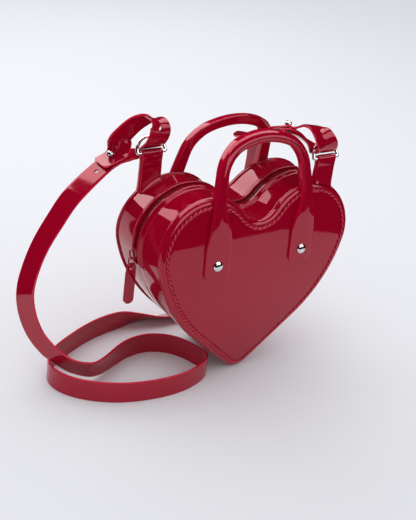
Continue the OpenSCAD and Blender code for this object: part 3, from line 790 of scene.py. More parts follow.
@dataclass
class Panel(SubAssembly):
    """The front or back face: a plate with a bead round it and a sunk stitch row."""

    bead_w: float = 0.0048  # width of the bead from the edge inwards
    bead_d: float = 0.005  # depth of the bead's round
    thickness: float = 0.0052  # depth of the rim behind the bead
    plate: float = 0.003  # thickness inside the stitch row
    row: float = 0.0066  # distance of the stitch row from the edge
    groove_w: float = 0.0029  # width and depth of the groove
    groove_d: float = 0.0007
    stitch_d: float = 0.0017  # thickness and length of one stitch
    stitch_l: float = 0.0052
    stitch_rise: float = 0.0003  # how far the thread stands off the groove
    dive: float = 0.00045  # how deep its ends go
    pitch: float = 0.005  # distance between stitches
    slant: float = 18.0  # slant of a stitch in degrees
    cells: Pair = (0.004, 0.012)  # size of the triangles in front and behind

    def profile(self) -> list[Pair]:
        """Inset and depth from behind the bead, over it and across the groove."""
        back = [(0.0082, self.plate + 0.0001), (0.0064, self.plate + 0.0004)]
        back += [(inset, self.thickness + more) for inset, more in (
            (0.005, 0.0004), (0.0016, 0.0006), (0.0004, 0.0003), (0.00006, 0))]
        bead = [(self.bead_w * (1 - cos(a)), self.bead_d * (1 - sin(a)))
                for a in np.radians(np.linspace(0, 90, 9))]
        half = self.groove_w / 2
        groove = [(self.row + share * half, self.groove_d * deep) for share, deep in (
            (-0.86, 0.18), (-0.66, 0.62), (-0.42, 0.92), (-0.1, 1.0), (0.4, 1.0), (0.68, 0.9),
            (0.82, 0.6), (0.92, 0.22), (1.02, 0.04))]
        return [*back, *bead, *groove, (self.row + half + 0.0006, 0.0)]

    def form(self) -> Shape:
        """The panel's whole form."""
        rows = self.profile()
        parts = [loft([self.heart.bowed(self.heart.loop(inset)[0], depth)
                       for inset, depth in rows], caps=False)]
        for (inset, depth), cell in zip((rows[-1], rows[0]), self.cells):
            flat = filled(self.heart.loop(inset)[0], cell)
            parts.append(Shape(self.heart.bowed(flat.points, depth), flat.faces))
        return joined(parts)

    def stitch(self) -> Shape:
        """One stitch along X, diving at its ends, with Z out of the face."""
        sides, plies, flat = 10, 3, 0.85
        rings = []
        for u in np.linspace(-1, 1, 11):
            ring = circle(self.stitch_d / 2 * max(0.25, (1 - abs(u) ** 3.2)) ** 0.5, sides)
            around = np.linspace(0, 2 * pi, sides, False)
            ring = ring * (1 + 0.1 * np.cos(plies * around + 5 * u))[:, None]
            rings.append(np.c_[np.full(sides, u * self.stitch_l / 2), ring[:, 0],
                               ring[:, 1] * flat - self.dive * abs(u) ** 2.5])
        return loft(rings)

    def stitches(self) -> Shape:
        """The whole stitch row."""
        p = self.heart.loop(self.row)[0]
        s = length_along(p)
        closed = np.vstack([p, p[:1]])
        count = round(s[-1] / self.pitch)
        one, made = self.stitch(), []

        def at(length: float) -> np.ndarray:
            """The row's point at a length."""
            return np.array([np.interp(length % s[-1], s, closed[:, k]) for k in (0, 1)])

        for i in range(count):
            where = (i + 0.5) * s[-1] / count
            x, z = at(where)
            step = at(where + self.stitch_l / 2) - at(where - self.stitch_l / 2)
            rise = self.stitch_d / 2 - self.groove_d + self.stitch_rise
            spot, out = self.heart.on_face(float(x), float(z), rise)
            along = Vector((step[0], 0, step[1]))
            along.rotate(Matrix.Rotation(radians(self.slant), 3, out))
            made.append(one.moved(frame_of(out, along, spot)))
        return joined(made)

    def build(self) -> None:
        """Makes both panels with their stitches."""
        self.pair(("face_plate", self.form(), Slot.SHELL, "panel", 40),
                  ("whip_stitches", self.stitches(), Slot.THREAD, "stitching", 80))


@dataclass
class Gusset(SubAssembly):
    """The band round each half, with the raised rims of the zip's slot."""

    wall: float = 0.0024  # its thickness
    tuck: float = 0.001  # how far the band lies inside the panel's bead
    behind: float = 0.0053  # how far behind the face it starts
    slot_w: float = 0.006  # width of the slot
    slot_end: float = 0.006  # length over which the slot closes
    rim_w: float = 0.003  # width and height of the rim
    rim_h: float = 0.0012
    soft: float = 0.0009  # rounding of the rim, of the slot's edge and of the hidden ends
    slot_cut: float = 0.0007
    cut: float = 0.0003
    low_angle: float = 24.0  # where the slot ends below the horizontal on the left lobe
    end_angle: float = 76.0  # where it ends above the horizontal on the right lobe
    seam_gap: float = 0.0024  # distance of the fine seam from the rim
    seam_pitch: float = 0.0022  # distance between the seam's stitches
    seam_l: float = 0.00075  # half the length of one

    def zip_reach(self, points: np.ndarray) -> tuple[np.ndarray, float, float]:
        """Where the slot runs along the outline.

        Args:
            points: The outline.

        Returns:
            The length at each point, and the lengths at the slot's two ends.
        """
        s = length_along(points)[:-1]
        lx, lz = self.heart.lobe
        ends = []
        for x, angle in ((lx, self.end_angle), (-lx, 180 + self.low_angle)):
            a = radians(angle)
            away = points - np.array([x, lz])
            off = np.abs(np.arctan2(away[:, 1], away[:, 0]) - atan2(sin(a), cos(a)))
            far = (points[:, 0] * x < 0) * 2 * pi  # leaves the other lobe out
            ends.append(float(s[(np.minimum(off, 2 * pi - off) + far).argmin()]))
        return s, ends[0], ends[1]

    def band(self) -> Shape:
        """The band's whole form, for the front."""
        points, ways = self.heart.loop()
        s, first, last = self.zip_reach(points)
        out = self.slot_w / 2 + self.rim_w
        rings = []
        for p, w, length in zip(points, ways, s):
            into = min(length - first, last - length)
            t = min(max(into / self.slot_end, 0), 1)
            slot = self.slot_w / 2 * sqrt(t * (2 - t))
            cut = self.slot_cut * min(max(1 + into / 0.001, 0.01), 1)
            rim = float(smooth_step((into + 0.0035) / 0.004))
            top = self.tuck * (1 - rim) - self.rim_h * rim
            seam = float(self.heart.face_y(p[1], -self.behind))
            section = rounded([(self.tuck, seam, self.cut), (self.tuck, -out - 0.0011, self.soft),
                               (top, -out + 0.0003, self.soft), (top, -slot, cut),
                               (self.wall, -slot, 0.4 * cut), (self.wall, seam, self.cut)], 3)
            flat = p - section[:, :1] * w
            rings.append(upright(np.maximum(flat, (-np.inf, 0)), section[:, 1]))
        return loft(rings, looped=True)

    def seam(self) -> Shape:
        """The fine machine stitches beside the rim, for the front."""
        points, ways = self.heart.loop()
        s, first, last = self.zip_reach(points)
        y = -(self.slot_w / 2 + self.rim_w + self.seam_gap)
        one = loft([np.c_[np.full(6, u * self.seam_l), circle(r, 6)] for u, r in (
            (-1, 0.00008), (-0.7, 0.0002), (0, 0.00026), (0.7, 0.0002), (1, 0.00008))])
        made = []
        for length in np.arange(first, last, self.seam_pitch):
            x, z, wx, wz = (np.interp(length, s, v[:, k]) for v in (points, ways) for k in (0, 1))
            out = Vector((wx, 0, wz)).normalized()
            spot = Vector((x, y, z)) - out * (self.tuck - 0.00005)
            made.append(one.moved(frame_of(out, out.cross(Vector((0, 1, 0))), spot)))
        return joined(made)

    def build(self) -> None:
        """Makes both bands with their fine seams."""
        self.pair(("gusset_band", self.band(), Slot.SHELL, "gusset", 40),
                  ("zip_seam", self.seam(), Slot.THREAD, "", 40))


@dataclass
class Handle(SubAssembly):
    """An arched handle that flattens into two riveted tabs."""

    span: float = 0.0896  # between the middles of its tabs
    foot_z: float = 0.108  # height of the tabs' lower ends
    top_z: float = 0.226  # height of its top
    tab_w: float = 0.025  # width and thickness of a tab
    tab_t: float = 0.0022
    arch_w: float = 0.0092  # width and thickness of the arch
    arch_t: float = 0.009
    arch_share: float = 0.826  # radius of the top, as a share of the span
    corner_share: float = 0.3795  # radius of the corners, as a share of the span
    neck: Pair = (0.136, 0.173)  # where a tab starts to narrow and where it is narrowest
    neck_w: float = 0.011  # width at the neck
    foot_corner: float = 0.005  # radius of a tab's lower corners
    rise: float = 0.0065  # how far the arch stands off the face's bow
    sink: float = 0.0003  # how far a tab's back lies inside the face
    free_z: Pair = (0.164, 0.012)  # height where the back leaves the face, and over how much
    full_z: Pair = (0.146, 0.028)  # height where the ridge starts, and over how much it grows
    ridge: float = 0.0026  # height of the ridge along the arch's front
    lip: float = 0.0006  # height of the lip beside it
    ease: float = 0.012  # half the height over which a bend is eased
    splay: float = 10.0  # splay of the legs in degrees
    turn: float = 70.0  # angle where the top meets the corners, in degrees

    def rails(self) -> tuple[np.ndarray, np.ndarray]:
        """The outer and inner edges in X and Z, from the right foot to the left one."""
        arch_r, corner_r = self.arch_share * self.span, self.corner_share * self.span
        arch = np.array([0, self.top_z - arch_r])

        def at(middle: np.ndarray, r: float, a: float) -> np.ndarray:
            """A point on a circle, by its angle in degrees."""
            return middle + r * np.array([cos(radians(a)), sin(radians(a))])

        corner = at(arch, arch_r - corner_r, self.turn)
        top, low = (at(corner, r, self.splay) for r in (corner_r, corner_r - self.arch_w))
        lean = tan(radians(self.splay))
        out_x, in_x = (self.span + self.tab_w) / 2, (self.span - self.tab_w) / 2
        join_z = top[1] - (out_x - top[0]) / lean
        start, neck = self.neck
        neck_x = top[0] + (top[1] - neck) * lean - self.neck_w
        rows = []  # the outer and the inner point of each station
        for a in np.radians(np.linspace(0, 90, 7)):
            z = self.foot_z + self.foot_corner * (1 - cos(a))
            cut = self.foot_corner * (1 - sin(a))
            rows.append(((out_x - cut, z), (in_x + cut, z)))
        for z in np.linspace(self.foot_z + self.foot_corner, start, 8)[1:]:
            rows.append(((out_x, z), (in_x, z)))
        for t in np.linspace(0, 1, 20)[1:]:
            z = start + (neck - start) * t
            pull = lean * ((z - join_z) + sqrt((z - join_z)**2 + 0.004**2)) / 2
            rows.append(((out_x - pull, z), (in_x + (neck_x - in_x) * (1 - cos(pi * t)) / 2, z)))
        outer, inner = np.array([out_x - lean * (neck - join_z), neck]), np.array([neck_x, neck])
        for t in np.linspace(0, 1, 9)[1:]:
            rows.append((outer * (1 - t) + top * t, inner * (1 - t) + low * t))
        for middle, r, low_a, high_a, count in ((corner, corner_r, self.splay, self.turn, 26),
                                                (arch, arch_r, self.turn, 90, 12)):
            rows += [(at(middle, r, a), at(middle, r - self.arch_w, a))
                     for a in np.linspace(low_a, high_a, count)[1:]]
        half = np.array(rows, float)
        whole = np.concatenate([half, half[-2::-1] * FLIP])
        return whole[:, 0], whole[:, 1]

    def front_y(self, z: np.ndarray) -> np.ndarray:
        """Where the handle's front stands, with its two bends eased.

        Args:
            z: Heights.

        Returns:
            Y at each height.
        """
        face, start = self.heart.face_y, self.neck[0]
        total = np.zeros_like(z)
        eases = np.linspace(-self.ease, self.ease, 13)
        for ease in eases:
            h = z + ease
            arch = np.maximum(face(start, self.tab_t), face(h, self.rise))
            total += np.where(h < start, face(h, self.tab_t), arch)
        return total / len(eases)

    def back_y(self, z: float) -> float:
        """Where the handle's back stands: just inside the face, then free of it."""
        free = float(smooth_step((z - self.free_z[0]) / self.free_z[1]))
        return float(self.heart.face_y(z, -self.sink * (1 - free)
                                       + (self.rise - self.arch_t) * free))

    def form(self) -> Shape:
        """The handle's whole form, for the front."""
        rings, painted_glows = [], []
        for o, i in zip(*self.rails()):
            across = o - i
            w = np.linalg.norm(across) / 2
            across /= 2 * w
            c = (o + i) / 2
            full = float(smooth_step((c[1] - self.full_z[0]) / self.full_z[1]))
            ridge, lip = self.ridge * full, self.lip * full
            t = self.back_y(c[1]) - float(self.front_y(np.array([c[1]]))[0])
            section = rounded([(w, ridge * 0.95, 0.0011 + 0.0004 * full),
                               (0.12 * w, 0, 0.0018), (-w + 0.0019, ridge * 0.72, 0.0003),
                               (-w + 0.0015, ridge * 0.72 + lip, 0.0003),
                               (-w, ridge * 0.8 + lip, 0.0007), (-w, t, 0.001), (w, t, 0.001)])
            flat = c + section[:, :1] * across
            rings.append(upright(flat, self.front_y(flat[:, 1]) + section[:, 1]))
            # painted glow of light through the handle's thin edges: strongest on the inner edge
            # beside the lip, weaker on the outer edge
            painted_glows.append(np.exp(-((section[:, 0] + w) / 0.0012) ** 2) * 0.6
                         + 0.25 * np.exp(-((section[:, 0] - w) / 0.001) ** 2))
        return loft(rings, painted_glow=np.concatenate(painted_glows))

    def build(self) -> None:
        """Makes both handles."""
        self.pair(("arched_handle", self.form(), Slot.SHELL, "handle", 50))


@dataclass
class Fixings(SubAssembly):
    """The domed rivets and their washers."""

    x: float = 0.0448  # distance of a rivet from the middle
    z: float = 0.119  # height of the rivets
    head_d: float = 0.0092  # diameter of the head
    head_h: float = 0.0024  # height of the dome
    edge: float = 0.0003  # height of the head's edge
    tab_t: float = 0.0022  # thickness that the head stands on

    def rivet(self) -> Shape:
        """One rivet along Z, with its head's seat at 0."""
        r, high = self.head_d / 2, self.head_h - self.edge
        dome = [(r * cos(a), self.edge + high * sin(a)) for a in np.radians(np.linspace(0, 90, 14))]
        return turned([(0.0012, -0.0074), (0.0022, -0.0074), (0.0022, -0.0068),
                       (0.0015, -0.0066), (0.0015, -0.0002), (r - 0.0003, -0.00005),
                       (r, 0.0001), *dome])

    def build(self) -> None:
        """Makes the rivets and dresses the washers."""
        made = []
        for x in (-self.x, self.x):
            spot, out = self.heart.on_face(x, self.z, self.tab_t)
            made.append(self.rivet().moved(frame_of(out, ACROSS, spot)))
        self.pair(("domed_rivets", joined(made), Slot.CHROME, "rivets", 60))
        self.dress(Slot.CHROME, "front_rivet_washers", "back_rivet_washers")


@dataclass
class ZipFastener(SubAssembly):
    """The zip: tapes, teeth and stops from the CAD, with a slider, ring and pull."""

    slider_angle: float = 189.5  # the slider's place on the left lobe, in degrees from +X
    slider_l: float = 0.009  # its length
    plates: tuple[Pair, Pair] = ((0.0424, 0.0436), (0.0462, 0.0474))  # their inner and outer radius
    widths: Corner = (0.008, 0.0048, 0.002)  # of the lower plate, the top plate and the bridge
    bridge_r: float = 0.0529  # radius of the bridge's top
    bridge_t: float = 0.001
    ring_at: Pair = (-0.102923, 0.118284)  # middle of the ring's wire in the bridge
    ring_d: float = 0.011  # the ring's outer diameter
    wire: float = 0.0012  # its wire's diameter
    pull_l: float = 0.036  # length, width and thickness of the pull
    pull_w: float = 0.0068
    pull_t: float = 0.0026
    pull_cut: float = 0.001  # rounding of its edges
    pull_hole: float = 0.0032  # diameter of its hole
    play: float = 0.00025  # between the pull and the ring

    def bent(self, line: np.ndarray, width: float, thick: float, cut: float) -> Shape:
        """A flat bar bent in the plane of the heart.

        Args:
            line: Angle in radians and radius of each place, about the left lobe.
            width: Across the purse.
            thick: In the plane of the heart.
            cut: Size of its rounded edges.

        Returns:
            The bar.
        """
        lx, lz = self.heart.lobe
        a, r = line[:, 0], line[:, 1]
        path = np.c_[-lx + r * np.cos(a), np.zeros(len(a)), lz + r * np.sin(a)]
        w, t = width / 2, thick / 2
        section = rounded([(w, t, cut), (-w, t, cut), (-w, -t, cut), (w, -t, cut)], 3)
        return swept(path, (0.0, 1.0, 0.0), section)

    def slider(self) -> Shape:
        """The slider's whole form."""
        mid = radians(self.slider_angle)
        half = asin(self.slider_l / 2 / self.heart.lobe_r)
        (_, low), (high, top) = self.plates
        bars = [(in_r, out_r, half, 15, width, 0, 0.0004)
                for (in_r, out_r), width in zip(self.plates, self.widths)]
        bars.append((low, high, -half / 3, 4, 0.001, 0.0008, 0.0001))
        made = []
        for in_r, out_r, end, count, width, more, cut in bars:
            line = np.c_[mid + np.linspace(-half, end, count), np.full(count, (in_r + out_r) / 2)]
            made.append(self.bent(line, width, out_r - in_r + more, cut))
        foot, top = top - 0.0003, self.bridge_r
        rise = [(1, foot), (1, foot + 0.0018), (0.97, top - 0.0012), (0.8, top - 0.0002),
                (0.5, top)]
        arch = [*[(-share, r) for share, r in rise], (0, top), *rise[::-1]]
        line = curve_through(np.array([(share * (half * 0.88), r) for share, r in arch]), 4)
        made.append(self.bent(line + np.array([mid, 0]), self.widths[2], self.bridge_t, 0.0003))
        return joined(made)

    def ring(self) -> Shape:
        """The small ring, hanging from the bridge."""
        r = (self.ring_d - self.wire) / 2
        x, z = self.ring_at
        p = circle(r, 48)
        line = np.c_[np.full(48, x), p[:, 0], z - r + p[:, 1]]
        return swept(line, (1.0, 0.0, 0.0), circle(self.wire / 2, 14), looped=True)

    def pull(self) -> Shape:
        """The pull: a flat tongue with a hole, rounded along its edges."""
        r = self.pull_hole / 2
        x, z = self.ring_at
        top = z - (self.ring_d - self.wire) - (r - self.wire / 2) + self.play
        head, w, low = r + 0.002, self.pull_w / 2, r + 0.002 - self.pull_l
        outline = rounded([(head * 0.8, head, 0.0025), (-head * 0.8, head, 0.0025),
                           (-w * 0.86, -0.001, 0.003), (-w, -0.006, 0.003),
                           (-w, low, 0.0034), (w, low, 0.0034), (w, -0.006, 0.003),
                           (w * 0.86, -0.001, 0.003)], 8)
        hole = circle(r, 40)
        step = np.roll(outline, -1, 0) - np.roll(outline, 1, 0)
        out = np.c_[-step[:, 1], step[:, 0]] / np.linalg.norm(step, axis=1)[:, None]
        t, cut = self.pull_t / 2, self.pull_cut
        rows = [(1.0, -1.0)] + [(1 - sin(a), -cos(a) * 0.9 - 0.1)
                                for a in np.radians((20, 45, 70, 90))]
        rows += [(inset, -y) for inset, y in rows[::-1]]

        def level(flat: np.ndarray, y: float) -> np.ndarray:
            """Flat points set at a share of half the thickness."""
            return upright(flat, y * t)

        parts = [loft([level(outline - out * cut * inset, y) for inset, y in rows], caps=False),
                 loft([level(hole * (1 + 0.4 * cut / r * inset), y) for inset, y in rows],
                      caps=False)]
        flat = filled(outline - out * cut, 0.0015, hole * (1 + 0.4 * cut / r))
        parts += [Shape(level(flat.points, y), flat.faces) for y in (-1, 1)]
        made = joined(parts)
        return Shape(made.points + np.array([x, 0, top]), made.faces)

    def build(self) -> None:
        """Makes the slider, ring and pull and dresses the rest."""
        self.place("zip_slider", self.slider(), Slot.PAINTED, "slider_body", "slider")
        self.place("pull_ring_wire", self.ring(), Slot.CHROME, "pull_ring", "puller_ring",
                   look=Slot.PAINTED)
        self.place("pull_tongue", self.pull(), Slot.SHELL, "pull_tab", "puller", 55)
        self.dress(Slot.CLOTH, "zip_tape_front", "zip_tape_back")
        self.dress(Slot.COIL, "zip_teeth_front", "zip_teeth_back")
        self.dress(Slot.PAINTED, "zip_bottom_stop", "zip_top_stop")


@dataclass
class RingMount(SubAssembly):
    """The folded side tabs and their rings."""

    left_x: float = 0.076  # distance of each tab's middle from the centre plane
    right_x: float = 0.0665
    y: float = 0.0276  # and from the zip
    width: float = 0.0195  # width and thickness of a tab
    thick: float = 0.006
    sink: float = 0.0012  # how far a tab's foot lies in the gusset
    bar_z: float = 0.197148  # height of a ring's bar
    ring_r: float = 0.0135  # radius of the ring's middle line
    bend: float = 0.0012  # and of its two corners
    wire: float = 0.003  # diameter of the ring's wire
    lean: float = 30.0  # how far each ring leans back, in degrees
    sides: tuple[Pair, ...] = (  # share of the way down, and of half the thickness there
        (0.14, 0.985), (0.26, 0.9), (0.34, 0.86), (0.42, 0.9), (0.52, 0.97), (0.64, 1.0),
        (0.76, 1.03), (0.86, 1.12), (0.94, 1.3), (1.0, 1.56))

    def surface_z(self, x: float) -> float:
        """Height of the lobe's skin at a place across."""
        lx, lz = self.heart.lobe
        return lz + sqrt(self.heart.lobe_r**2 - (abs(x) - lx) ** 2)

    def fold(self, x: float, y: float) -> Shape:
        """One folded tab.

        Args:
            x: Its middle across.
            y: Its middle from front to back.

        Returns:
            The tab.
        """
        ends = [(-1.0, 0.0009), (-0.985, 0.0004), (-0.95, 0.0001), (-0.9, 0.0)]
        stations = [*ends, *[(u, 0.0) for u in np.linspace(-0.8, 0.8, 9)],
                    *[(-u, cut) for u, cut in ends[::-1]]]
        rings, painted_glows = [], []
        for u, cut in stations:
            place = x + u * self.width / 2
            drop = self.bar_z - (self.surface_z(place) - self.sink)
            r = self.thick / 2 - cut
            arc = [(r * cos(a), self.bar_z + r * sin(a))
                   for a in np.radians(np.linspace(0, 180, 17))]
            down = [(-k * r, self.bar_z - share * drop) for share, k in self.sides]
            ring = np.array([*arc, *down, *[(-a, b) for a, b in down[::-1]]])
            rings.append(np.c_[np.full(len(ring), place), y + ring[:, 0], ring[:, 1]])
            # painted glow of light through the tab's cut side edges
            painted_glows.append(np.full(len(ring), 0.5 if cut > 0.0002 else 0.0))
        return loft(rings, painted_glow=np.concatenate(painted_glows))

    def ring(self, x: float, y: float) -> Shape:
        """One ring, with its bar through the tab.

        Args:
            x: The bar's middle across.
            y: The bar's middle from front to back.

        Returns:
            The ring.
        """
        r, bend = self.ring_r, self.bend
        corner = [(r - bend * (1 - sin(a)), bend * (1 - cos(a))) for a in np.radians((30, 60))]
        p = np.array([*[(-r + bend + t * 2 * (r - bend), 0.0) for t in np.linspace(0, 1, 12)],
                      *corner, *[(r * cos(a), r * sin(a))
                        for a in np.radians(np.linspace(5, 175, 60))],
                      *[(-u, v) for u, v in corner[::-1]]])
        a = radians(self.lean)
        line = np.c_[x + p[:, 0], y + p[:, 1] * sin(a), self.bar_z + p[:, 1] * cos(a)]
        return swept(line, (0.0, cos(a), -sin(a)), circle(self.wire / 2, 20), looped=True)

    def build(self) -> None:
        """Makes both tabs and both rings."""
        for word, x, y in (("left", -self.left_x, self.y), ("right", self.right_x, -self.y)):
            self.place(f"{word}_ring_loop", self.fold(x, y), Slot.SHELL, f"{word}_side_tab",
                       sharp=55)
            self.place(f"{word}_strap_ring", self.ring(x, y), Slot.CHROME, f"{word}_ring",
                       f"{word}_d_ring", 70)


# Each place of the strap, in tenths of a millimetre from its ring's window or from the floor
# under the heart's tip, then the way that its width runs, in hundredths.
LEFT_ROWS: list[Row] = [
    (-435, 50, -146, 0, -100, 0), (-327, 52, -106, 0, -100, -5), (-286, 55, -78, 25, -95, -10),
    (-265, 50, -15, 70, -60, -30), (-262, 36, 62, 88, 0, -38), (-212, 8, 140, 90, 10, -38),
    (-163, -22, 200, 90, 10, -36), (-112, -62, 243, 92, 10, -34), (-68, -102, 257, 92, 10, -36),
    (-35, -139, 236, 95, 10, -25), (-22, -159, 190, 100, 10, -12), (-17, -152, 132, 100, 5, -5),
    (-14, -112, 61, 100, 0, 0), (0, -18, -22, 100, 0, 0), (8, 88, -93, 90, 40, 0),
    (-63, 118, -119, 62, 78, 0), (-175, 98, -120, 30, 95, 5), (-320, 53, -130, 0, 100, 5),
    (-454, 48, -212, -8, 100, 11)]
FLOOR_ROWS: list[Row] = [
    (-1440, 335, 1545, -14, 100, 17), (-1575, 330, 1360, -17, 100, 14),
    (-1695, 330, 1160, -18, 100, 8), (-1780, 325, 950, -23, 97, -4),
    (-1820, 320, 750, -30, 90, -20), (-1800, 305, 540, -35, 80, -35),
    (-1745, 250, 360, -30, 70, -55), (-1665, 170, 235, -20, 60, -75),
    (-1590, 110, 165, -5, 55, -80), (-1510, 60, 105, 0, 50, -85), (-1420, 30, 65, 0, 45, -90),
    (-1320, 20, 35, 0, 35, -93), (-1210, 50, 15, 0, 20, -100), (-1090, 110, 5, 0, 10, -100),
    *[(x, y, 0, 0, 0, -100) for x, y in (
        (-970, 172), (-860, 213), (-750, 230), (-650, 223), (-560, 190), (-480, 138), (-415, 65),
        (-365, -30), (-330, -135), (-305, -220), (-325, -295), (-400, -355), (-507, -397),
        (-620, -423), (-750, -433), (-895, -424), (-1076, -390), (-1240, -335), (-1380, -257),
        (-1495, -167), (-1580, -70), (-1635, 35), (-1650, 140), (-1625, 237), (-1555, 325),
        (-1430, 415), (-1270, 500), (-1090, 580), (-890, 640))],
    (-680, 665, -1, 0, 12, -100), (-480, 655, -20, 0, 60, -80), (-300, 630, -45, 0, 84, -54),
    (-160, 620, -55, 0, 90, -42), (-30, 610, -60, 0, 95, -30), (90, 605, -50, 0, 100, -12),
    (210, 605, -20, 0, 100, 0), (310, 605, 70, 0, 100, 0), (385, 605, 210, 0, 100, 0),
    (440, 605, 390, 0, 100, 0), (480, 600, 600, 0, 100, 0), (510, 590, 820, 0, 100, 0),
    (535, 580, 1040, 0, 100, 0), (552, 568, 1240, 0, 100, 0), (560, 553, 1420, -5, 100, 0),
    (555, 540, 1580, -10, 100, 0), (530, 525, 1710, -25, 95, 0), (470, 495, 1800, -40, 90, -5),
    (370, 460, 1850, -54, 84, -10), (255, 365, 1880, -77, 63, -10), (210, 270, 1915, -94, 30, -10),
    (185, 170, 1965, -100, 0, 0), (220, 75, 2015, -90, -37, 10)]
RIGHT_ROWS: list[Row] = [
    (-365, 242, 117, -45, -80, 40), (-275, 202, 120, -22, -84, 50), (-180, 165, 86, -30, -87, 35),
    (-115, 136, 34, -45, -85, 20), (-60, 115, -15, -80, -60, 0), (-10, 56, -34, -96, -25, 0),
    (1, -12, -19, -100, 0, 0), (-14, -52, 35, -100, 0, 0), (-61, -60, 105, -100, 0, 0),
    (-105, -35, 165, -100, -5, 0), (-140, 30, 200, -85, -45, 15), (-178, 100, 195, -60, -70, 30),
    (-225, 165, 158, -30, -85, 42), (-280, 214, 143, -22, -84, 50), (-365, 256, 140, -42, -82, 42),
    (-425, 291, 132, -55, -75, 35)]


@dataclass
class ShoulderStrap(SubAssembly):
    """The flat strap, with its buttoned ends and ball studs."""

    width: float = 0.02  # the strap's width and thickness
    thick: float = 0.0018
    corner: float = 0.0035  # radius of its ends' corners
    hole_d: float = 0.0034  # diameter of its holes
    reach: float = 0.1  # length that its places are shares of
    spare: tuple[int, ...] = (10, 16, 18)  # numbers of the rows with a spare hole
    ball_d: float = 0.006  # diameters of a stud's ball and base
    base_d: float = 0.007
    layer_gap: float = 0.0006  # between two layers that a stud holds
    stud_gap: float = 0.00055  # play of a stud
    mount: RingMount | None = None  # the rings that the strap runs through

    def rows(self) -> np.ndarray:
        """Every row as a place in metres and a way."""
        m = self.mount
        rise = (m.ring_r + m.wire / 4) / 2
        a = radians(m.lean)
        window = np.array([0, rise * sin(a), m.bar_z + rise * cos(a)])
        out = []
        for rows, base in ((LEFT_ROWS, window + np.array([-m.left_x, m.y, 0])),
                           (FLOOR_ROWS, np.array([0, 0, self.width / 2])),
                           (RIGHT_ROWS, window + np.array([m.right_x, -m.y, 0]))):
            out += [[*(base + self.reach * (np.array(r[:3]) / 1000)), *(v / 100 for v in r[3:])]
                    for r in rows]
        return np.array(out, float)

    def spot(self, row: int, side: int) -> Matrix:
        """The place of a row, with Z out of the strap.

        Args:
            row: The row's number.
            side: Which of the two faces Z leaves.

        Returns:
            The matrix.
        """
        rows = self.rows()
        way = rows[min(row + 1, len(rows) - 1), :3] - rows[max(row - 1, 0), :3]
        way /= np.linalg.norm(way)
        wide = rows[row, 3:] - (rows[row, 3:] @ way) * way
        out = side * np.cross(way, wide / np.linalg.norm(wide))
        return frame_of(Vector(out), Vector(way), Vector(rows[row, :3]))

    def band(self) -> Shape:
        """The strap without its holes."""
        line = curve_through(self.rows(), 6)
        ends = length_along(line[:, :3])[:-1]
        t = np.clip(np.minimum(ends, ends[-1] - ends) / self.corner, 0.02, 1)
        scale = 1 - self.corner * (1 - np.sqrt(t * (2 - t))) / (self.width / 2)
        w, h = self.width / 2, self.thick / 2
        top = [(w, h, 0.00065), (w - 0.003, h, 0.001), (0, h, 0.001), (-w + 0.003, h, 0.001),
               (-w, h, 0.00065)]
        section = rounded([*top, *[(x, -y, cut) for x, y, cut in top[::-1]]], 3)
        made = swept(line[:, :3], line[:, 3:], section, scale)
        # painted glow of light through both cut edges of the strap
        edge = np.clip((np.abs(section[:, 0]) - (w - 0.0007)) / 0.0005, 0, 1)
        return Shape(made.points, made.faces, np.tile(edge, len(line)))

    def stud(self) -> Shape:
        """One ball stud, with Z from its base to its ball."""
        low = -self.thick / 2 - self.stud_gap
        top = 1.5 * self.thick + self.layer_gap + self.stud_gap
        r, neck, base = self.ball_d / 2, self.hole_d / 2 - self.stud_gap, self.base_d / 2
        mid = top + r - 0.0005
        ball = [(r * sin(a), mid - r * cos(a)) for a in np.linspace(asin(neck / r), pi * 0.995, 24)]
        return turned([(base * 0.5, low - 0.001), (base - 0.0003, low - 0.001),
                       (base, low - 0.0007), (base, low - 0.0003), (base - 0.0004, low),
                       (neck, low + 0.0001), (neck, top - 0.0002), *ball])

    def punched(self, piece: Object, spots: list[tuple[int, int, int]]) -> None:
        """Cuts the holes into the strap.

        Args:
            piece: The strap.
            spots: Row, side and number of layers of each hole.
        """
        r, clear = self.hole_d / 2, self.thick * 1.2
        pins = []
        for row, side, layers in spots:
            high = clear if layers == 1 else 3 * self.thick + 2 * self.layer_gap
            pins.append(turned([(r, -clear), (r, high)], 28).moved(self.spot(row, side)))
        shape = joined(pins)
        mesh = bpy.data.meshes.new("punch")
        mesh.from_pydata(shape.points.tolist(), [], shape.faces)
        punch = added("punch", mesh)
        cut = piece.modifiers.new("holes", "BOOLEAN")
        cut.object, cut.operation, cut.solver = punch, "DIFFERENCE", "EXACT"
        bpy.context.view_layer.update()
        made = bpy.data.meshes.new_from_object(
            piece.evaluated_get(bpy.context.evaluated_depsgraph_get()))
        piece.modifiers.clear()
        piece.data = made
        bpy.data.objects.remove(punch)

    def build(self) -> None:
        """Makes the strap and its studs."""
        studs = {"left": len(LEFT_ROWS) - 2, "right": len(LEFT_ROWS) + len(FLOOR_ROWS) + 1}
        strap = self.place("flat_shoulder_strap", self.band(), Slot.STRAP, "shoulder_strap",
                           sharp=60)
        self.punched(strap, [*[(row, -1, 2) for row in studs.values()],
                             *[(row, 1, 1) for row in self.spare]])
        for word, row in studs.items():
            self.place(f"{word}_ball_stud", self.stud().moved(self.spot(row, -1)), Slot.CHROME,
                       f"{word}_strap_stud", sharp=60)


# ---------------------------------------------------------------- studio


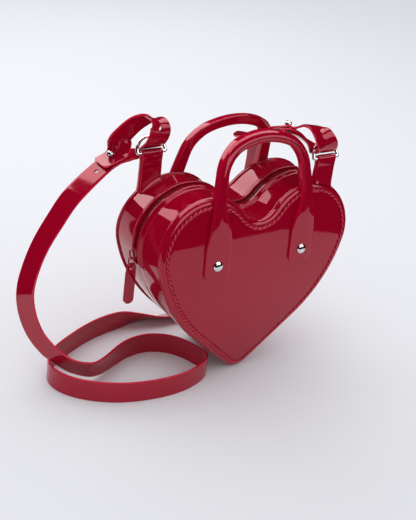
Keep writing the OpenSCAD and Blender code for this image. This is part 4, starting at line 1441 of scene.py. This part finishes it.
@dataclass(frozen=True)
class Softbox:
    """A rectangular lamp."""

    name: str
    place: Corner  # its middle
    aim: Corner  # the point that it faces
    size: Pair
    radiance: float  # how bright its face is, where 1 is white
    mirrored: bool  # true: only glossy skins mirror it; false: it lights, and isn't mirrored

    def hang(self) -> None:
        """Puts the lamp into the scene."""
        data = bpy.data.lights.new(self.name, "AREA")
        data.shape, (data.size, data.size_y) = "RECTANGLE", self.size
        data.energy = self.radiance * pi * self.size[0] * self.size[1]
        lamp = added(self.name, data)
        ahead = Vector(self.aim) - Vector(self.place)
        lamp.matrix_world = frame_of(-ahead, ACROSS, Vector(self.place))
        lamp.visible_camera = False
        lamp.visible_glossy, lamp.visible_diffuse = self.mirrored, not self.mirrored


@dataclass
class Studio:
    """Camera, floor, lamps and surroundings."""

    place: Corner = (-0.4601, -0.5592, 0.4714)  # the camera's
    angles: Corner = (37.945, 27.639, 7.916)  # its yaw, pitch and roll in degrees
    focal: float = 910.39  # in pixels of the picture
    picture_w: float = 416.0  # the picture's width in pixels
    sensor: float = 36.0  # width of the sensor in millimetres
    floor_size: float = 6.0  # half the floor's width
    floor: Colour = (0.80, 0.815, 0.85)
    dark: Colour = (0.012, 0.012, 0.013)  # what a glossy skin sees past the table
    fill: Colour = (0.42, 0.42, 0.43)  # what lights matt skins from all round
    backdrop: Colour = (0.83, 0.84, 0.87)
    table: Pair = (0.355, 0.44)  # how far the table reaches to the right and to the front
    notch: Corner = (0.64, 0.053, 0.1)  # slope, offset and start of its slanted edge behind
    boxes: tuple[Softbox, ...] = (
        Softbox("overhead_box", (0.0, 0.25, 0.95), (0, 0.05, 0.05), (1.0, 0.7), 0.85, False),
        Softbox("back_box", (0.1, 1.15, 0.85), (0, 0, 0.12), (1.5, 0.6), 1.1, False),
        Softbox("ceiling", (0.8, 1.0, 4.0), (0.8, 1.0, 0), (22.0, 22.0), 0.47, False),
        Softbox("overhead_shine", (0.2, 0.08, 0.95), (0.2, 0.08, 0), (1.3, 0.76), 3.6, True),
        Softbox("back_shine", (-0.45, 1.15, 0.98), (-0.2, 0, 0.6), (1.15, 0.92), 3.8, True),
        Softbox("front_shine", (0.35, -1.0, 0.66), (0, 0, 0.12), (1.4, 0.7), 2.4, True))

    def camera(self) -> None:
        """Sets the camera to the photograph's view."""
        yaw, pitch, roll = (radians(a) for a in self.angles)
        ahead = Vector((sin(yaw) * cos(pitch), cos(yaw) * cos(pitch), -sin(pitch)))
        right = Vector((cos(yaw), -sin(yaw), 0))
        up = right.cross(ahead)
        x = right * cos(roll) + up * sin(roll)
        y = -right * sin(roll) + up * cos(roll)
        data = bpy.data.cameras.new("camera")
        data.sensor_fit, data.sensor_width = "HORIZONTAL", self.sensor
        data.lens = self.focal * self.sensor / self.picture_w
        data.clip_start, data.clip_end = 0.01, 30
        cam = added("camera", data)
        cam.matrix_world = Matrix.LocRotScale(Vector(self.place),
                                              Matrix((x, y, -ahead)).transposed(), None)
        bpy.context.scene.camera = cam

    def ground(self) -> None:
        """Lays a pale floor; past the table's edge a glossy skin sees the dark studio."""
        mesh = bpy.data.meshes.new("floor")
        mesh.from_pydata([(x * self.floor_size, y * self.floor_size, 0)
                          for x, y in ((-1, -1), (1, -1), (1, 1), (-1, 1))], [], [(0, 1, 2, 3)])
        made = bpy.data.materials.new("studio_floor")
        made.use_nodes = True
        made.node_tree.nodes.clear()
        n = Nodes(made.node_tree)
        at = n.add("SeparateXYZ", {0: n.add("NewGeometry").outputs["Position"]}).outputs
        slope, offset, start = self.notch
        slant = n.math("MULTIPLY_ADD", at[1], slope, at[0])
        behind = n.math("MULTIPLY", n.math("LESS_THAN", slant, -offset),
                        n.math("GREATER_THAN", at[1], start))
        past = n.math("MAXIMUM", n.math("GREATER_THAN", at[0], self.table[0]),
                      n.math("LESS_THAN", at[1], -self.table[1]))
        gone = n.math("MULTIPLY", n.math("MAXIMUM", past, behind),
                      n.add("LightPath").outputs["Is Glossy Ray"])
        both = n.add("MixShader", {0: gone,
                                   1: n.add("BsdfDiffuse", {"Color": self.floor}).outputs[0],
                                   2: n.add("Emission", {"Color": self.dark}).outputs[0]})
        n.add("OutputMaterial", {"Surface": both.outputs[0]})
        mesh.materials.append(made)
        floor = added("floor", mesh)

    def surroundings(self) -> None:
        """Sets what the rays that leave the studio see."""
        world = bpy.data.worlds.new("studio")
        bpy.context.scene.world = world
        world.use_nodes = True
        world.node_tree.nodes.clear()
        n = Nodes(world.node_tree)
        path = n.add("LightPath").outputs
        shine = n.mix(path["Is Glossy Ray"], self.fill, self.dark)
        back = n.add("Background", {"Color": n.mix(path["Is Camera Ray"], shine, self.backdrop)})
        n.add("OutputWorld", {"Surface": back.outputs[0]})

    def build(self) -> None:
        """Makes everything round the purse."""
        bpy.context.scene.view_settings.view_transform = "Standard"
        self.camera()
        self.ground()
        for box in self.boxes:
            box.hang()
        self.surroundings()


def main() -> None:
    """Builds the studio and the purse."""
    logging.basicConfig(level=logging.INFO, format="%(name)s: %(message)s")
    Studio().build()
    looks, heart = wardrobe(), Heart()
    mount = RingMount(looks, heart)
    for part in (Panel(looks, heart), Gusset(looks, heart), ZipFastener(looks, heart),
                 Handle(looks, heart), Fixings(looks, heart), mount,
                 ShoulderStrap(looks, heart, mount=mount)):
        LOG.info("building %s", type(part).__name__)
        part.build()


if __name__ == "__main__":
    main()
